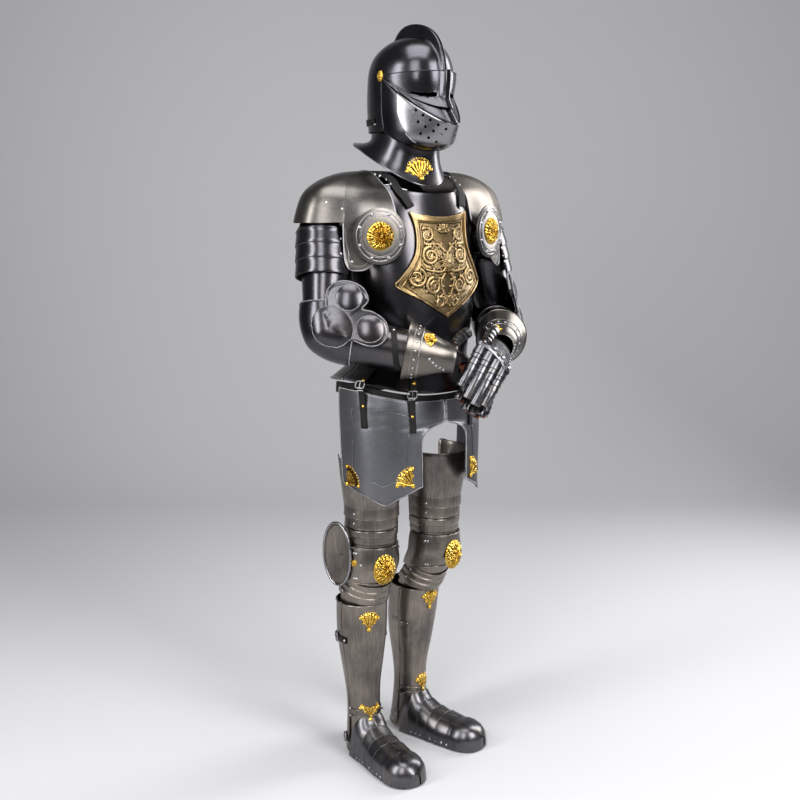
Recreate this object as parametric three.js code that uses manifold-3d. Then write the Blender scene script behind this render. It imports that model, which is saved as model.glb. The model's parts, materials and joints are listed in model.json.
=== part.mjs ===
// A suit of plate armour, hollow and in its worn pose: helmet, cuirass, tassets, arms and legs.
// Millimetres, +Z up. The suit faces -Y and its own right side is at -X.
// It is laid out above a floor at Z = 0, then moved so that the origin is the point between the
// shoulders where the wearer carries it.

import * as THREE from 'three';
import Module from 'manifold-3d';

const wasm = await Module();
wasm.setup();

// Driving dimensions
const WALL = 2;            // steel plate
const THIN = 1.2;          // brass fittings
const LEATHER = 2.5;       // straps
const CARRY_POINT = [0, 5, 1432];

// A table is written as one string of column names and a row of numbers for each section.
function table(names, rows) {
  const columns = names.split(' ');
  return rows.map((row) => Object.fromEntries(columns.map((name, i) => [name, row[i]])));
}

// The row of a table at any value of its first column, on a smooth curve through the rows.
function at(rows, value) {
  const key = Object.keys(rows[0])[0];
  const up = rows[rows.length - 1][key] > rows[0][key];
  const t = (row) => (up ? row[key] : -row[key]);
  const v = up ? value : -value;
  let i = 0;
  while (i < rows.length - 2 && v > t(rows[i + 1])) {
    i += 1;
  }
  const span = t(rows[i + 1]) - t(rows[i]);
  const s = Math.min(1, Math.max(0, (v - t(rows[i])) / span));
  const before = rows[Math.max(0, i - 1)];
  const after = rows[Math.min(rows.length - 1, i + 2)];
  const result = {};
  for (const name of Object.keys(rows[0])) {
    const a = rows[i][name];
    const b = rows[i + 1][name];
    const slopeA = (b - before[name]) / (t(rows[i + 1]) - t(before)) * span;
    const slopeB = (after[name] - a) / (t(after) - t(rows[i])) * span;
    const h = [2 * s ** 3 - 3 * s ** 2 + 1, s ** 3 - 2 * s ** 2 + s, 3 * s ** 2 - 2 * s ** 3, s ** 3 - s ** 2];
    result[name] = h[0] * a + h[1] * slopeA + h[2] * b + h[3] * slopeB;
  }
  return result;
}

const radians = (degrees) => degrees * Math.PI / 180;
const power = (value, exponent) => Math.sign(value) * Math.abs(value) ** exponent;
const mix = (a, b, t) => a + (b - a) * t;
const point = (x, y, z) => new THREE.Vector3(x, y, z);
const steps = (count, a = 0, b = 1) => Array.from({ length: count + 1 }, (_, i) => mix(a, b, i / count));
const bump = (distance, width) => Math.exp(-((distance / width) ** 2));

// A sheet is a grid of points, one row for each value of v and one column for each value of u.
function sheet(us, vs, place, closed = false) {
  return { rows: vs.map((v) => us.map((u) => place(u, v))), closed };
}

// Thickens a sheet into a closed wall. Lift(u index, v index) raises the outer face, and the
// inner face stays plain. The outer face is the one that points away from the inside point.
function wall(grid, thickness, { inside = null, lift = null, offset = 0 } = {}) {
  const index = new Map();
  const base = [];
  const raised = [];
  const ids = grid.rows.map((row, j) => row.map((p, i) => {
    const key = `${p.x.toFixed(3)},${p.y.toFixed(3)},${p.z.toFixed(3)}`;
    if (!index.has(key)) {
      index.set(key, base.length);
      base.push(p);
      raised.push(lift ? lift(i, j) : 0);
    }
    return index.get(key);
  }));
  let faces = [];
  const columns = grid.rows[0].length - (grid.closed ? 0 : 1);
  for (let j = 0; j + 1 < ids.length; j += 1) {
    for (let i = 0; i < columns; i += 1) {
      const k = (i + 1) % grid.rows[0].length;
      const quad = [ids[j][i], ids[j][k], ids[j + 1][k], ids[j + 1][i]];
      faces.push([quad[0], quad[1], quad[2]], [quad[0], quad[2], quad[3]]);
    }
  }
  faces = faces.filter(([a, b, c]) => a !== b && b !== c && c !== a);
  const centre = inside ? point(...inside) : base.reduce((s, p) => s.add(p), point(0, 0, 0)).divideScalar(base.length);
  const normals = base.map(() => point(0, 0, 0));
  const cross = ([a, b, c]) => base[b].clone().sub(base[a]).cross(base[c].clone().sub(base[a]));
  const outward = faces.reduce((sum, f) => sum + cross(f).dot(base[f[0]].clone().sub(centre)), 0);
  if (outward < 0) {
    faces = faces.map(([a, b, c]) => [a, c, b]);
  }
  for (const f of faces) {
    const n = cross(f);
    f.forEach((id) => normals[id].add(n));
  }
  normals.forEach((n) => n.normalize());
  const count = base.length;
  const outer = base.map((p, id) => p.clone().addScaledVector(normals[id], offset + raised[id]));
  const inner = base.map((p, id) => p.clone().addScaledVector(normals[id], offset - thickness));
  const triangles = [...faces];
  const edges = new Set();
  for (const f of faces) {
    f.forEach((id, e) => edges.add(`${id},${f[(e + 1) % 3]}`));
    triangles.push([f[2] + count, f[1] + count, f[0] + count]);
  }
  for (const edge of edges) {
    const [a, b] = edge.split(',').map(Number);
    if (!edges.has(`${b},${a}`)) {
      triangles.push([b, a, a + count], [b, a + count, b + count]);
    }
  }
  const geometry = new THREE.BufferGeometry().setFromPoints([...outer, ...inner]);
  geometry.setIndex(triangles.flat());
  return geometry;
}

function solid(geometry) {
  const mesh = new wasm.Mesh({
    numProp: 3,
    vertProperties: new Float32Array(geometry.attributes.position.array),
    triVerts: new Uint32Array(geometry.index.array),
  });
  return new wasm.Manifold(mesh);
}

function geometryOf(manifold) {
  const mesh = manifold.getMesh();
  const geometry = new THREE.BufferGeometry();
  geometry.setAttribute('position', new THREE.BufferAttribute(new Float32Array(mesh.vertProperties), 3));
  geometry.setIndex(new THREE.BufferAttribute(new Uint32Array(mesh.triVerts), 1));
  return geometry;
}

const joined = (...parts) => geometryOf(parts.map(solid).reduce((a, b) => a.add(b)));

// Colours of the finished materials
const STEELS = {
  black: { color: 0x2b2b2e, roughness: 0.32, metalness: 0.95 },
  grey: { color: 0x76706a, roughness: 0.38, metalness: 0.95 },
  brass: { color: 0xc79a3a, roughness: 0.3, metalness: 1 },
  bronze: { color: 0x7d6a48, roughness: 0.42, metalness: 1 },
  leather: { color: 0x17130f, roughness: 0.7, metalness: 0 },
};

const suit = new THREE.Group();

function add(name, geometry, material) {
  geometry.computeVertexNormals();
  const mesh = new THREE.Mesh(geometry, new THREE.MeshStandardMaterial(STEELS[material]));
  mesh.name = name;
  suit.add(mesh);
}

// Helmet. Its surface turns about the line through the two temple pivots: turn 0 is forward,
// 90 up and 180 back. Across is -1 at the right temple and 1 at the left.
const PIVOT = { x: 98, y: -38, z: 1762 };
const SKULL = table('turn radius', [
  [-8, 115], [0, 115], [45, 111], [65, 104], [90, 98], [120, 102], [150, 115], [180, 125],
]);
const COMB = table('turn height', [
  [0, 9], [15, 12], [35, 17], [60, 24], [90, 30], [110, 27], [125, 14], [140, 1], [180, 0],
]);
const COMB_HALF = 0.026;
// How pointed the sections are: 0.92 is nearly round and more gives a keel on the middle line.
const KEELED = table('turn sharp', [[-50, 1.2], [40, 1.2], [80, 1.05], [120, 0.92], [180, 0.92]]);
const HELMET_ACROSS = [-1, -0.84, -0.64, -0.44, -0.26, -0.12, -0.055, -COMB_HALF,
  COMB_HALF, 0.055, 0.12, 0.26, 0.44, 0.64, 0.84, 1];

function helmetPoint(across, turn, radius, halfWidth = PIVOT.x) {
  const side = Math.sin(across * Math.PI / 2);
  const reach = radius * Math.abs(Math.cos(across * Math.PI / 2)) ** at(KEELED, turn).sharp;
  const a = radians(turn);
  return point(halfWidth * side, PIVOT.y - reach * Math.cos(a), PIVOT.z + reach * Math.sin(a));
}

// Below the temples the skull drops as an upright wall round the back of the head.
const NAPE = table('drop back half', [
  [0, 125, 98], [45, 130, 98], [90, 131, 96], [128, 129, 92],
]);

function napePoint(across, drop) {
  const row = at(NAPE, drop);
  const side = Math.sin(across * Math.PI / 2);
  const reach = row.back * Math.abs(Math.cos(across * Math.PI / 2)) ** 0.92;
  return point(row.half * side, PIVOT.y + reach, PIVOT.z - drop);
}

function skull() {
  const turns = [2, 20, 38, 56, 74, 90, 104, 116, 128, 144, 162, 180];
  const drops = [45, 90, 128];
  const places = [...turns.map((turn) => ({ turn })), ...drops.map((drop) => ({ drop }))];
  const grid = sheet(HELMET_ACROSS, places, (u, v) => (v.turn === undefined
    ? napePoint(u, v.drop) : helmetPoint(u, v.turn, at(SKULL, v.turn).radius)));
  const lift = (i, j) => {
    const onComb = Math.abs(HELMET_ACROSS[i]) <= COMB_HALF && places[j].turn !== undefined;
    return onComb ? at(COMB, places[j].turn).height : 0;
  };
  return wall(grid, WALL, { inside: [0, PIVOT.y, PIVOT.z], lift });
}

// Visor rows from the top edge down to the beak. Each row turns to one angle on the middle line
// and to another at the corner of the eye slit, from where it runs straight to the pivot.
const VISOR = table('row centre corner radius keel', [
  [0, 4, 5, 121, 15], [1, -6, -9, 121, 15], [2, -16, -26.5, 124, 14], [3, -21.5, -32, 131, 11],
  [4, -28, -34, 160, 5], [5, -29.6, -34.7, 151, 5], [6, -32, -35.5, 166, 4], [7, -35.3, -38, 196, 4],
]);
const VISOR_CORNER = 0.48;
const VISOR_SIDE = 121;
const VISOR_GAP = 4.5;     // how far the pivot arms of the visor stand outside the skull
const VISOR_ACROSS = [-1, -0.73, -0.48, -0.36, -0.25, -0.16, -0.1, -0.055,
  0.055, 0.1, 0.16, 0.25, 0.36, 0.48, 0.73, 1];

function visorPoint(across, row) {
  const { centre, corner, radius, keel } = at(VISOR, row);
  const share = Math.min(1, Math.abs(across) / VISOR_CORNER);
  const prow = Math.cos(across * Math.PI / 2) ** 4;
  const raised = Math.abs(across) < 0.06 ? keel : 0;
  return helmetPoint(across, mix(centre, corner, share), mix(VISOR_SIDE, radius, prow) + raised, PIVOT.x + VISOR_GAP);
}

const SLIT = { high: 2.06, low: 2.94, ends: [0.12, 0.46] };

function visor() {
  const grid = sheet(VISOR_ACROSS, VISOR.map(({ row }) => row), visorPoint);
  const inside = [0, PIVOT.y, PIVOT.z];
  const plate = solid(wall(grid, WALL, { inside }));
  const slits = [-1, 1].map((side) => {
    const us = steps(3, ...SLIT.ends).map((u) => u * side);
    return solid(wall(sheet(us, [SLIT.high, SLIT.low], visorPoint), 24, { inside, offset: 12 }));
  });
  return geometryOf(slits.reduce((body, slit) => body.subtract(slit), plate));
}

// Bevor: the chin plate, from under the visor to the neck. Deep is how far it stands before the
// pivots on the middle line, and sideDeep the same for its flanks.
const BEVOR = table('t deep sideDeep z sideZ half', [
  [0, 160, 112, 1643, 1762, 98], [0.5, 136, 116, 1612, 1700, 98], [0.75, 120, 108, 1595, 1665, 96],
  [0.9, 98, 94, 1588, 1645, 94], [1, 82, 82, 1585, 1634, 92],
]);

const BEVOR_END = 0.996;    // leaves the bevor clear of the skull under the pivots

function bevorPoint(across, t) {
  const row = at(BEVOR, t);
  const along = Math.abs(Math.cos(across * Math.PI / 2));
  const deep = mix(row.sideDeep, row.deep, along ** 4) * along ** 0.92;
  const z = mix(row.sideZ, row.z, (deep / row.deep) ** 0.88);
  return point(row.half * Math.sin(across * Math.PI / 2), PIVOT.y - deep, z);
}

function bevor() {
  const grid = sheet(steps(14, -BEVOR_END, BEVOR_END), steps(5), bevorPoint);
  return wall(grid, WALL, { inside: [0, PIVOT.y, 1660] });
}

// Collar: rings from the neck of the helmet to the flared lower edge, with a tail at the back.
const GORGET = table('t half front back zFront zBack sides', [
  [0, 80, -98, 87.9, 1588, 1641, 2.4], [0.35, 82, -92, 88, 1562, 1618, 2], [0.7, 89, -96, 116, 1532, 1612, 1.7],
  [1, 96, -106, 158, 1503, 1612, 1.5],
]);

function gorgetPoint(turn, t) {
  const row = at(GORGET, t);
  const a = radians(turn);
  const middle = (row.front + row.back) / 2 - 12;
  const reach = Math.cos(a) > 0 ? middle - row.front : row.back - middle;
  const tail = Math.cos(a) > 0 ? 0.9 : 1.15;
  const y = middle - reach * power(Math.cos(a), tail);
  const forward = ((1 + Math.cos(a)) / 2) ** row.sides;
  return point(row.half * power(Math.sin(a), 0.9), y, mix(row.zBack, row.zFront, forward));
}

function gorget() {
  const turns = steps(23, 0, 345);
  const grid = sheet(turns, steps(4), gorgetPoint, true);
  const lift = (i, j) => (j === 4 ? 2.5 : 0);
  return wall(grid, WALL, { inside: [0, 0, 1560], lift });
}

function gorgetFan() {
  const place = (across, up) => gorgetPoint(across / 1.7 - 9, 0.93 - up / 95);
  return fan(place, [0, 0, 1540], { radius: 46, from: -64, to: 64, stand: 3.3 });
}

// The strap that fastens the bevor round the nape.
function napeStrap() {
  const grid = sheet(steps(8, -0.86, 0.1), [98, 112], napePoint);
  return wall(grid, LEATHER, { inside: [0, PIVOT.y, 1660], offset: LEATHER + 1 });
}

function templeRosette(side) {
  const centre = [side * (PIVOT.x + VISOR_GAP - 0.7), PIVOT.y, PIVOT.z];
  return disc(centre, [side, 0, 0], { across: 11, up: 13, depth: THIN, dome: 5, rings: 2, sides: 12 });
}

// A fan of brass laid on any surface: place(a, b) takes millimetres across and up. Every second
// rib stands proud.
function fan(place, inside, { radius, from, to, stand = THIN }) {
  const angles = steps(8, from, to);
  const grid = sheet(angles.map((_, i) => i), [0.1, 0.55, 1], (i, t) => {
    const a = radians(angles[i]);
    const reach = radius * (i % 2 ? 1 : 0.9) * t;
    return place(Math.sin(a) * reach, Math.cos(a) * reach);
  });
  return wall(grid, THIN, { inside, lift: (i) => (i % 2 ? 2 : 0.6), offset: stand });
}

// A disc of brass or steel: stands on a surface at a centre, facing along a normal.
function disc(centre, normal, { across, up, depth, dome = 0, rings = 3, sides = 24, rim = 0 }) {
  const n = point(...normal).normalize();
  const s = point(0, 0, 1).cross(n).normalize();
  const u = n.clone().cross(s);
  const radii = steps(rings, 0, 1);
  const grid = sheet(steps(sides - 1, 0, 360 - 360 / sides), radii, (turn, r) => {
    const a = radians(turn);
    const height = dome * (1 - r * r);
    return point(...centre).addScaledVector(s, across * r * Math.sin(a))
      .addScaledVector(u, up * r * Math.cos(a)).addScaledVector(n, height);
  }, true);
  const behind = point(...centre).addScaledVector(n, -500);
  const lift = (i, j) => (rim && j >= rings - 1 ? rim : 0);
  return wall(grid, depth, { inside: behind.toArray(), lift });
}

// Torso: oval sections from the neck to the flange at the hips. Front and back are Y values.
const TORSO = table('z half front back', [
  [1560, 88, -58, 92], [1525, 118, -92, 108], [1484, 142, -127, 118], [1440, 166, -143, 126],
  [1380, 178, -153, 132], [1300, 178, -165, 130], [1200, 164, -169, 118], [1120, 150, -163, 106],
  [1062, 152, -153, 104], [1030, 174, -156, 118], [997, 205, -171, 138],
]);
const TORSO_ROUND = 0.86;
const FLANGE = { z: 997, rise: 34, from: 1110 };

// The flange rises at the hips and dips at the front.
function hipRise(z, turn) {
  const share = Math.min(1, Math.max(0, (FLANGE.from - z) / (FLANGE.from - FLANGE.z)));
  return FLANGE.rise * share * Math.sin(radians(turn)) ** 2;
}

function ovalPoint(row, turn, lift = 0) {
  const a = radians(turn);
  const middle = (row.front + row.back) / 2;
  const depth = (row.back - row.front) / 2 + lift;
  return [(row.half + lift) * power(Math.sin(a), TORSO_ROUND), middle - depth * power(Math.cos(a), TORSO_ROUND)];
}

function torsoPoint(turn, z, lift = 0) {
  const [x, y] = ovalPoint(at(TORSO, z), turn, lift);
  return point(x, y, z + hipRise(z, turn));
}

// The turn at which a section of the torso reaches a given X.
function turnAtX(row, x) {
  return Math.asin(Math.min(1, Math.abs(x) / row.half) ** (1 / TORSO_ROUND)) * 180 / Math.PI * Math.sign(x);
}

// Top edges: the neck dips at the front, the shoulders stand up, and the armholes are cut away.
const BREAST_TOP = table('turn z', [[0, 1482], [25, 1486], [42, 1497], [58, 1500], [70, 1440], [80, 1360], [90, 1325]]);
const BACK_TOP = table('turn z', [[0, 1540], [30, 1535], [48, 1515], [60, 1495], [72, 1430], [82, 1360], [90, 1325]]);
const SIDE_SEAM = 0.12;    // degrees left open between the breastplate and the backplate

const PLATE_ROWS = [0, 0.015, 0.12, 0.25, 0.4, 0.56, 0.72, 0.87, 0.94, 0.985, 1];

// Down the middle runs a ridge from the chest shield to the waist. Neck and flange edges are rolled.
function breastplate() {
  const turns = steps(18, -90 + SIDE_SEAM, 90 - SIDE_SEAM);
  const last = PLATE_ROWS.length - 1;
  const grid = sheet(turns, PLATE_ROWS, (turn, t) => torsoPoint(turn, mix(at(BREAST_TOP, Math.abs(turn)).z, FLANGE.z, t)));
  const lift = (i, j) => {
    const ridge = j > 6 && j < 10 ? 4 * bump(turns[i], 5) : 0;
    const rolled = j === 0 && Math.abs(turns[i]) < 36 ? 3 : 0;
    return Math.max(ridge, rolled, j === last ? 3 : 0);
  };
  return wall(grid, WALL, { inside: [0, 0, 1250], lift });
}

function backplate() {
  const turns = steps(12, 90 + SIDE_SEAM, 270 - SIDE_SEAM);
  const last = PLATE_ROWS.length - 1;
  const grid = sheet(turns, PLATE_ROWS, (turn, t) => (
    torsoPoint(turn, mix(at(BACK_TOP, Math.abs(180 - turn)).z, FLANGE.z, t))));
  return wall(grid, WALL, { inside: [0, 0, 1250], lift: (i, j) => (j === last ? 3 : 0) });
}

// Chest shield: half width at each height, with corners at the top and the sides.
const SHIELD = table('z half', [
  [1438, 84], [1405, 77], [1372, 76], [1340, 82], [1310, 98], [1280, 118], [1264, 127],
  [1240, 93], [1212, 47], [1185, 0.5],
]);
const SHIELD_STAND = 4.2;

function chestPoint(x, z, lift = 0) {
  const row = at(TORSO, z);
  return torsoPoint(turnAtX(row, x), z, lift);
}

function chestShield() {
  const us = [-1, -0.94, -0.65, -0.32, 0, 0.32, 0.65, 0.94, 1];
  const heights = SHIELD.map((row) => row.z);
  const grid = sheet(us, heights, (u, z) => {
    const half = at(SHIELD, z).half;
    const dip = z > 1400 ? 13 * (1 - u * u) * (z - 1400) / 38 : 0;
    return chestPoint(u * half, z - dip, SHIELD_STAND);
  });
  const lift = (i, j) => {
    const border = i === 0 || i === us.length - 1 || j === 0 ? 3 : 0;
    const boss = 7 * bump((us[i] * SHIELD[j].half) / 45, 1) * bump((SHIELD[j].z - 1330) / 55, 1);
    return Math.max(border, boss);
  };
  return wall(grid, THIN, { inside: [0, 0, 1300], lift });
}

// Straps over the shoulders, from the back to the studded tip on the chest.
function shoulderStrap(side) {
  const onBack = (x, z) => torsoPoint(180 - turnAtX(at(TORSO, z), x), z, 6.5);
  const path = [
    onBack(92, 1470), onBack(95, 1495), point(100, 96, 1522), point(103, 55, 1533), point(104, 10, 1536),
    point(103, -40, 1531), point(99, -80, 1517), chestPoint(93, 1496, 11), chestPoint(87, 1476, 8.5),
    chestPoint(79, 1452, 6),
  ];
  const grid = sheet([-10, 10], path, (u, p) => point(side * (p.x + u), p.y, p.z - u * 0.3));
  return wall(grid, LEATHER, { inside: [0, 0, 1300] });
}

// Belt and tassets hang round the hips on an oval of their own.
const SKIRT = table('z half front back', [
  [1000, 196, -160, 128], [960, 198, -165, 130], [880, 196, -170, 130], [760, 190, -172, 128], [700, 186, -172, 126],
]);

function skirtPoint(turn, z, lift = 0) {
  const [x, y] = ovalPoint(at(SKIRT, Math.min(1000, z)), turn, lift);
  return point(x, y, z);
}

function waistBelt() {
  const turns = steps(23, 0, 345);
  const grid = sheet(turns, [0, 1], (turn, t) => {
    const rise = FLANGE.rise * Math.sin(radians(turn)) ** 2;
    const p = skirtPoint(turn, 990 - 26 * t, -5.6);
    return point(p.x, p.y, p.z + rise * 0.9);
  }, true);
  return wall(grid, LEATHER, { inside: [0, 0, 980] });
}

// Tassets: the outer rear edge is at turn 97, the inner edge at the middle above the cut-out.
const TASSET = { rear: 97, topFront: 976, topSide: 1006, cutTop: 918, cutLow: 880, inner: 72, corner: 766, tip: 722 };

function tassetInner(z) {
  const t = Math.min(1, Math.max(0, (TASSET.cutTop - z) / (TASSET.cutTop - TASSET.cutLow)));
  const row = at(SKIRT, z);
  return turnAtX(row, mix(4, TASSET.inner, Math.sqrt(1 - (1 - t) ** 2)));
}

function tassetPoint(side, u, t, lift = 0) {
  const top = mix(TASSET.topFront, TASSET.topSide, Math.sin(radians(u * TASSET.rear)) ** 2);
  const tip = 0.42;
  const low = TASSET.tip + (TASSET.corner - TASSET.tip) * (u < tip ? (tip - u) / tip : (u - tip) / (1 - tip));
  const z = mix(top, low, t);
  const turn = mix(tassetInner(z), TASSET.rear, u);
  const p = skirtPoint(turn, z, lift);
  return point(side * p.x, p.y, p.z);
}

function tasset(side) {
  const us = [0, 0.03, 0.16, 0.29, 0.42, 0.58, 0.77, 0.96, 1];
  const ts = [0, 0.1, 0.17, 0.21, 0.25, 0.3, 0.36, 0.46, 0.7, 0.97, 1];
  const grid = sheet(us, ts, (u, t) => tassetPoint(side, u, t));
  const lift = (i, j) => (i === 0 || i === us.length - 1 || j === ts.length - 1 ? 2 : 0);
  return wall(grid, WALL, { inside: [side * 60, 0, 850], lift });
}

// A strap runs from a rivet on the flange, over its edge and down on the tasset.
function tassetStrap(side, turn) {
  const rise = FLANGE.rise * Math.sin(radians(turn)) ** 2;
  const stand = 4.2 + turn * 0.041;
  const path = [
    torsoPoint(turn, 1044, stand), torsoPoint(turn, 1022, stand + 1), torsoPoint(turn, 1000, stand + 3),
    torsoPoint(turn, 991, stand + 3), skirtPoint(turn, 977 + rise, stand + 4), skirtPoint(turn, 955 + rise * 0.8, stand),
    skirtPoint(turn, 925 + rise * 0.6, 3.5), skirtPoint(turn, 900 + rise * 0.5, 3.2),
  ];
  const a = radians(turn);
  const along = point(Math.cos(a), Math.sin(a) * 0.9, 0).normalize();
  const grid = sheet([-8, 8], path, (u, p) => {
    const q = p.clone().addScaledVector(along, u);
    return point(side * q.x, q.y, q.z);
  });
  return wall(grid, LEATHER, { inside: [0, 0, 960] });
}

// Brass fans in the two lower corners of a tasset.
const SKIRT_MM_PER_DEGREE = 2.9;

function tassetFan(side, corner) {
  const outer = corner === 'outer';
  const turn = outer ? TASSET.rear - 4 : tassetInner(TASSET.corner) + 3;
  const direction = outer ? -1 : 1;
  const place = (across, up) => {
    const slope = (across / 100) * (TASSET.tip - TASSET.corner) * 0.55;
    const p = skirtPoint(turn + direction * across / SKIRT_MM_PER_DEGREE, TASSET.corner + 10 + up + slope, 1);
    return point(side * p.x, p.y, p.z);
  };
  return fan(place, [side * 60, 0, 780], { radius: 46, from: 0, to: 96 });
}

// Limbs. Joint places of each side, above the floor.
const JOINTS = {
  right: {
    side: -1, shoulder: [-226, 6, 1424], elbow: [-284, -54, 1150], wrist: [-46, -268, 1092],
    knuckle: [58, -210, 1048], spread: [-0.45, -0.88, -0.1],
    fingers: [[0.5, 0, -0.85], [-0.75, -0.15, -0.65]], thumb: [[2, -248, 1152], [-0.9, -0.1, -0.3], [-0.8, -0.1, -0.6]],
    hip: [-104, -6, 860], knee: [-104, 4, 545], calf: [-106, 40, 430], ankle: [-103, 42, 110],
    toe: [-124, -170, 0], handStart: 19.4, lameEnd: 100.2, greaveEnd: 312.5,
    besagew: [-177.7, -133.2, 1383], besagewNormal: [-0.34, -0.94, 0],
  },
  left: {
    side: 1, shoulder: [222, -22, 1414], elbow: [290, -38, 1146], wrist: [106, -252, 1108],
    knuckle: [28, -308, 1092], spread: [0.42, -0.5, -0.75],
    fingers: [[-0.62, -0.1, -0.72], [-0.36, 0.3, -0.88]], thumb: [[56, -284, 1156], [-0.8, -0.3, -0.2], [-0.7, -0.3, -0.6]],
    hip: [104, -16, 860], knee: [100, -4, 545], calf: [94, 62, 430], ankle: [90, 88, 110],
    toe: [132, -98, 0], handStart: -2.6, lameEnd: 103.9, greaveEnd: 310,
    besagew: [171.2, -136, 1390], besagewNormal: [0.34, -0.94, 0],
  },
};

// A limb has an axis from one joint to the next, a front direction and a side direction.
function limb(from, to, front) {
  const a = point(...from);
  const axis = point(...to).sub(a);
  const length = axis.length();
  axis.normalize();
  const f = point(...front);
  f.addScaledVector(axis, -f.dot(axis)).normalize();
  return { a, axis, length, f, s: f.clone().cross(axis).normalize() };
}

// A point on a limb section: along is in millimetres from the first joint, turn 0 is its front.
function limbPoint(bone, rows, along, turn, lift = 0) {
  const row = at(rows, along);
  const a = radians(turn);
  const reach = (Math.cos(a) > 0 ? row.front : row.back) + lift;
  return bone.a.clone().addScaledVector(bone.axis, along)
    .addScaledVector(bone.s, (row.half + lift) * power(Math.sin(a), 0.95))
    .addScaledVector(bone.f, reach * power(Math.cos(a), 0.95));
}

function tube(bone, rows, alongs, { from = 0, to = 360, count = 18, thickness = WALL, lift = null, offset = 0 }) {
  const full = to - from >= 360;
  const turns = full ? steps(count - 1, from, to - 360 / count) : steps(count, from, to);
  const grid = sheet(turns, alongs, (turn, along) => limbPoint(bone, rows, along, turn, offset), full);
  const middle = bone.a.clone().addScaledVector(bone.axis, (alongs[0] + alongs[alongs.length - 1]) / 2);
  return wall(grid, thickness, { inside: middle.toArray(), lift });
}

// Lames: short overlapping rings in one stepped wall.
function stepped(from, to, count, overlap = 2) {
  const result = [];
  for (let i = 0; i < count; i += 1) {
    const a = mix(from, to, i / count);
    const b = mix(from, to, (i + 1) / count);
    result.push({ along: a + (i ? overlap * Math.sign(to - from) : 0), step: 0 }, { along: b, step: 1 });
  }
  return result;
}

// Forearm tables are for this length from elbow to wrist, and are stretched to fit each arm.
const FOREARM_LENGTH = 325;

const UPPER_ARM = table('along half front back', [
  [96, 60, 64.6, 67.5], [150, 57, 57, 61], [222, 51.8, 52.4, 53.4],
]);
const FOREARM = table('along half front back', [
  [66, 53.8, 51.8, 55.8], [140, 50, 48, 52], [250, 49.2, 42, 49.2],
]);

function stretched(rows, length) {
  return rows.map((row) => ({ ...row, along: row.along * length / FOREARM_LENGTH }));
}

function arm(name, joints) {
  const { side } = joints;
  const inward = [-side, 0, 0];
  const upper = limb(joints.shoulder, joints.elbow, [0, -1, 0]);
  const lower = limb(joints.elbow, joints.wrist, inward);
  const outTurn = upper.s.x * side > 0 ? 90 : -90;

  add(`${name}_upper_cannon`, tube(upper, UPPER_ARM, [96, 150, upper.length - 54], { count: 12 }), 'black');
  add(`${name}_vambrace`, forearmTube(lower, FOREARM, [66, 140, 250]), 'black');

  add(`${name}_pauldron`, pauldron(joints), 'black');
  add(`${name}_pauldron_lames`, pauldronLames(joints, upper, outTurn), 'black');
  add(`${name}_besagew`, disc(joints.besagew, joints.besagewNormal, {
    across: 66, up: 66, depth: WALL, dome: 7, rings: 3, sides: 16, rim: 2.5,
  }), 'black');
  const n = point(...joints.besagewNormal).normalize();
  const bossCentre = point(...joints.besagew).addScaledVector(n, THIN + 7.2);
  add(`${name}_besagew_boss`, disc(bossCentre.toArray(), joints.besagewNormal, {
    across: 41, up: 41, depth: THIN, dome: 11, rings: 2, sides: 16,
  }), 'brass');
  add(`${name}_couter`, couter(joints), 'black');
  add(`${name}_cuff`, cuff(lower), 'black');
  add(`${name}_hand`, hand(joints), 'black');
  add(`${name}_thumb`, thumb(joints), 'black');
}

// Pauldron: a quarter dome over the shoulder, cut off beside the neck. Turn 0 is its front edge,
// 90 the outer side and 180 the back. Its front runs down as a wing that ends in a point.
const PAULDRON = { neckX: 119, outX: 312, top: 1538, middle: 1420, frontY: -86, backY: 100.3, flare: 92, round: 0.87 };
const PAULDRON_LOW = table('turn z', [
  [0, 1416], [5, 1396], [12, 1345], [19, 1317], [27, 1302], [37.4, 1316], [38, 1413], [180, 1413],
]);

// The dome takes this share of t, and the upright wing below it the rest.
const DOME_SHARE = 0.6;

function pauldronPoint(joints, turn, t) {
  const a = radians(turn);
  const i = Math.max(1, PAULDRON_LOW.findIndex((row) => row.turn >= turn));
  const [from, to] = [PAULDRON_LOW[i - 1], PAULDRON_LOW[i]];
  const low = mix(from.z, to.z, (turn - from.turn) / (to.turn - from.turn));
  const arc = radians(90 * Math.min(1, t / DOME_SHARE));
  const reach = Math.sin(arc) ** 0.85;
  const z = t <= DOME_SHARE
    ? mix(PAULDRON.middle, PAULDRON.top, Math.cos(arc))
    : mix(PAULDRON.middle, low, (t - DOME_SHARE) / (1 - DOME_SHARE));
  const flare = 0.42 * Math.min(1, Math.max(0, t / 0.3 - 0.67)) + 0.3 * Math.max(0, PAULDRON.middle - z) / 110;
  const ahead = joints.shoulder[1] - PAULDRON.frontY + PAULDRON.flare * flare * Math.max(0, 1 - turn / 60);
  const depth = (Math.cos(a) > 0 ? ahead : PAULDRON.backY - joints.shoulder[1]) * reach;
  const x = PAULDRON.neckX + (PAULDRON.outX - PAULDRON.neckX) * reach * power(Math.sin(a), PAULDRON.round);
  const y = joints.shoulder[1] - depth * power(Math.cos(a), PAULDRON.round);
  return point(joints.side * x, y, z);
}

function pauldron(joints) {
  const turns = [0, 5, 12, 19, 27, 37.4, 38, 52, 68, 84, 100, 120, 150, 180];
  const grid = sheet(turns, [0, 0.1, 0.2, 0.3, 0.42, 0.6, 0.75, 0.97, 1], (turn, t) => pauldronPoint(joints, turn, t));
  const lift = (i, j) => (j === 8 || (i === 0 && j > 3) ? 2 : 0);
  const [x, y, z] = joints.shoulder;
  return wall(grid, WALL, { inside: [x, y, z - 30], lift });
}

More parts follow.
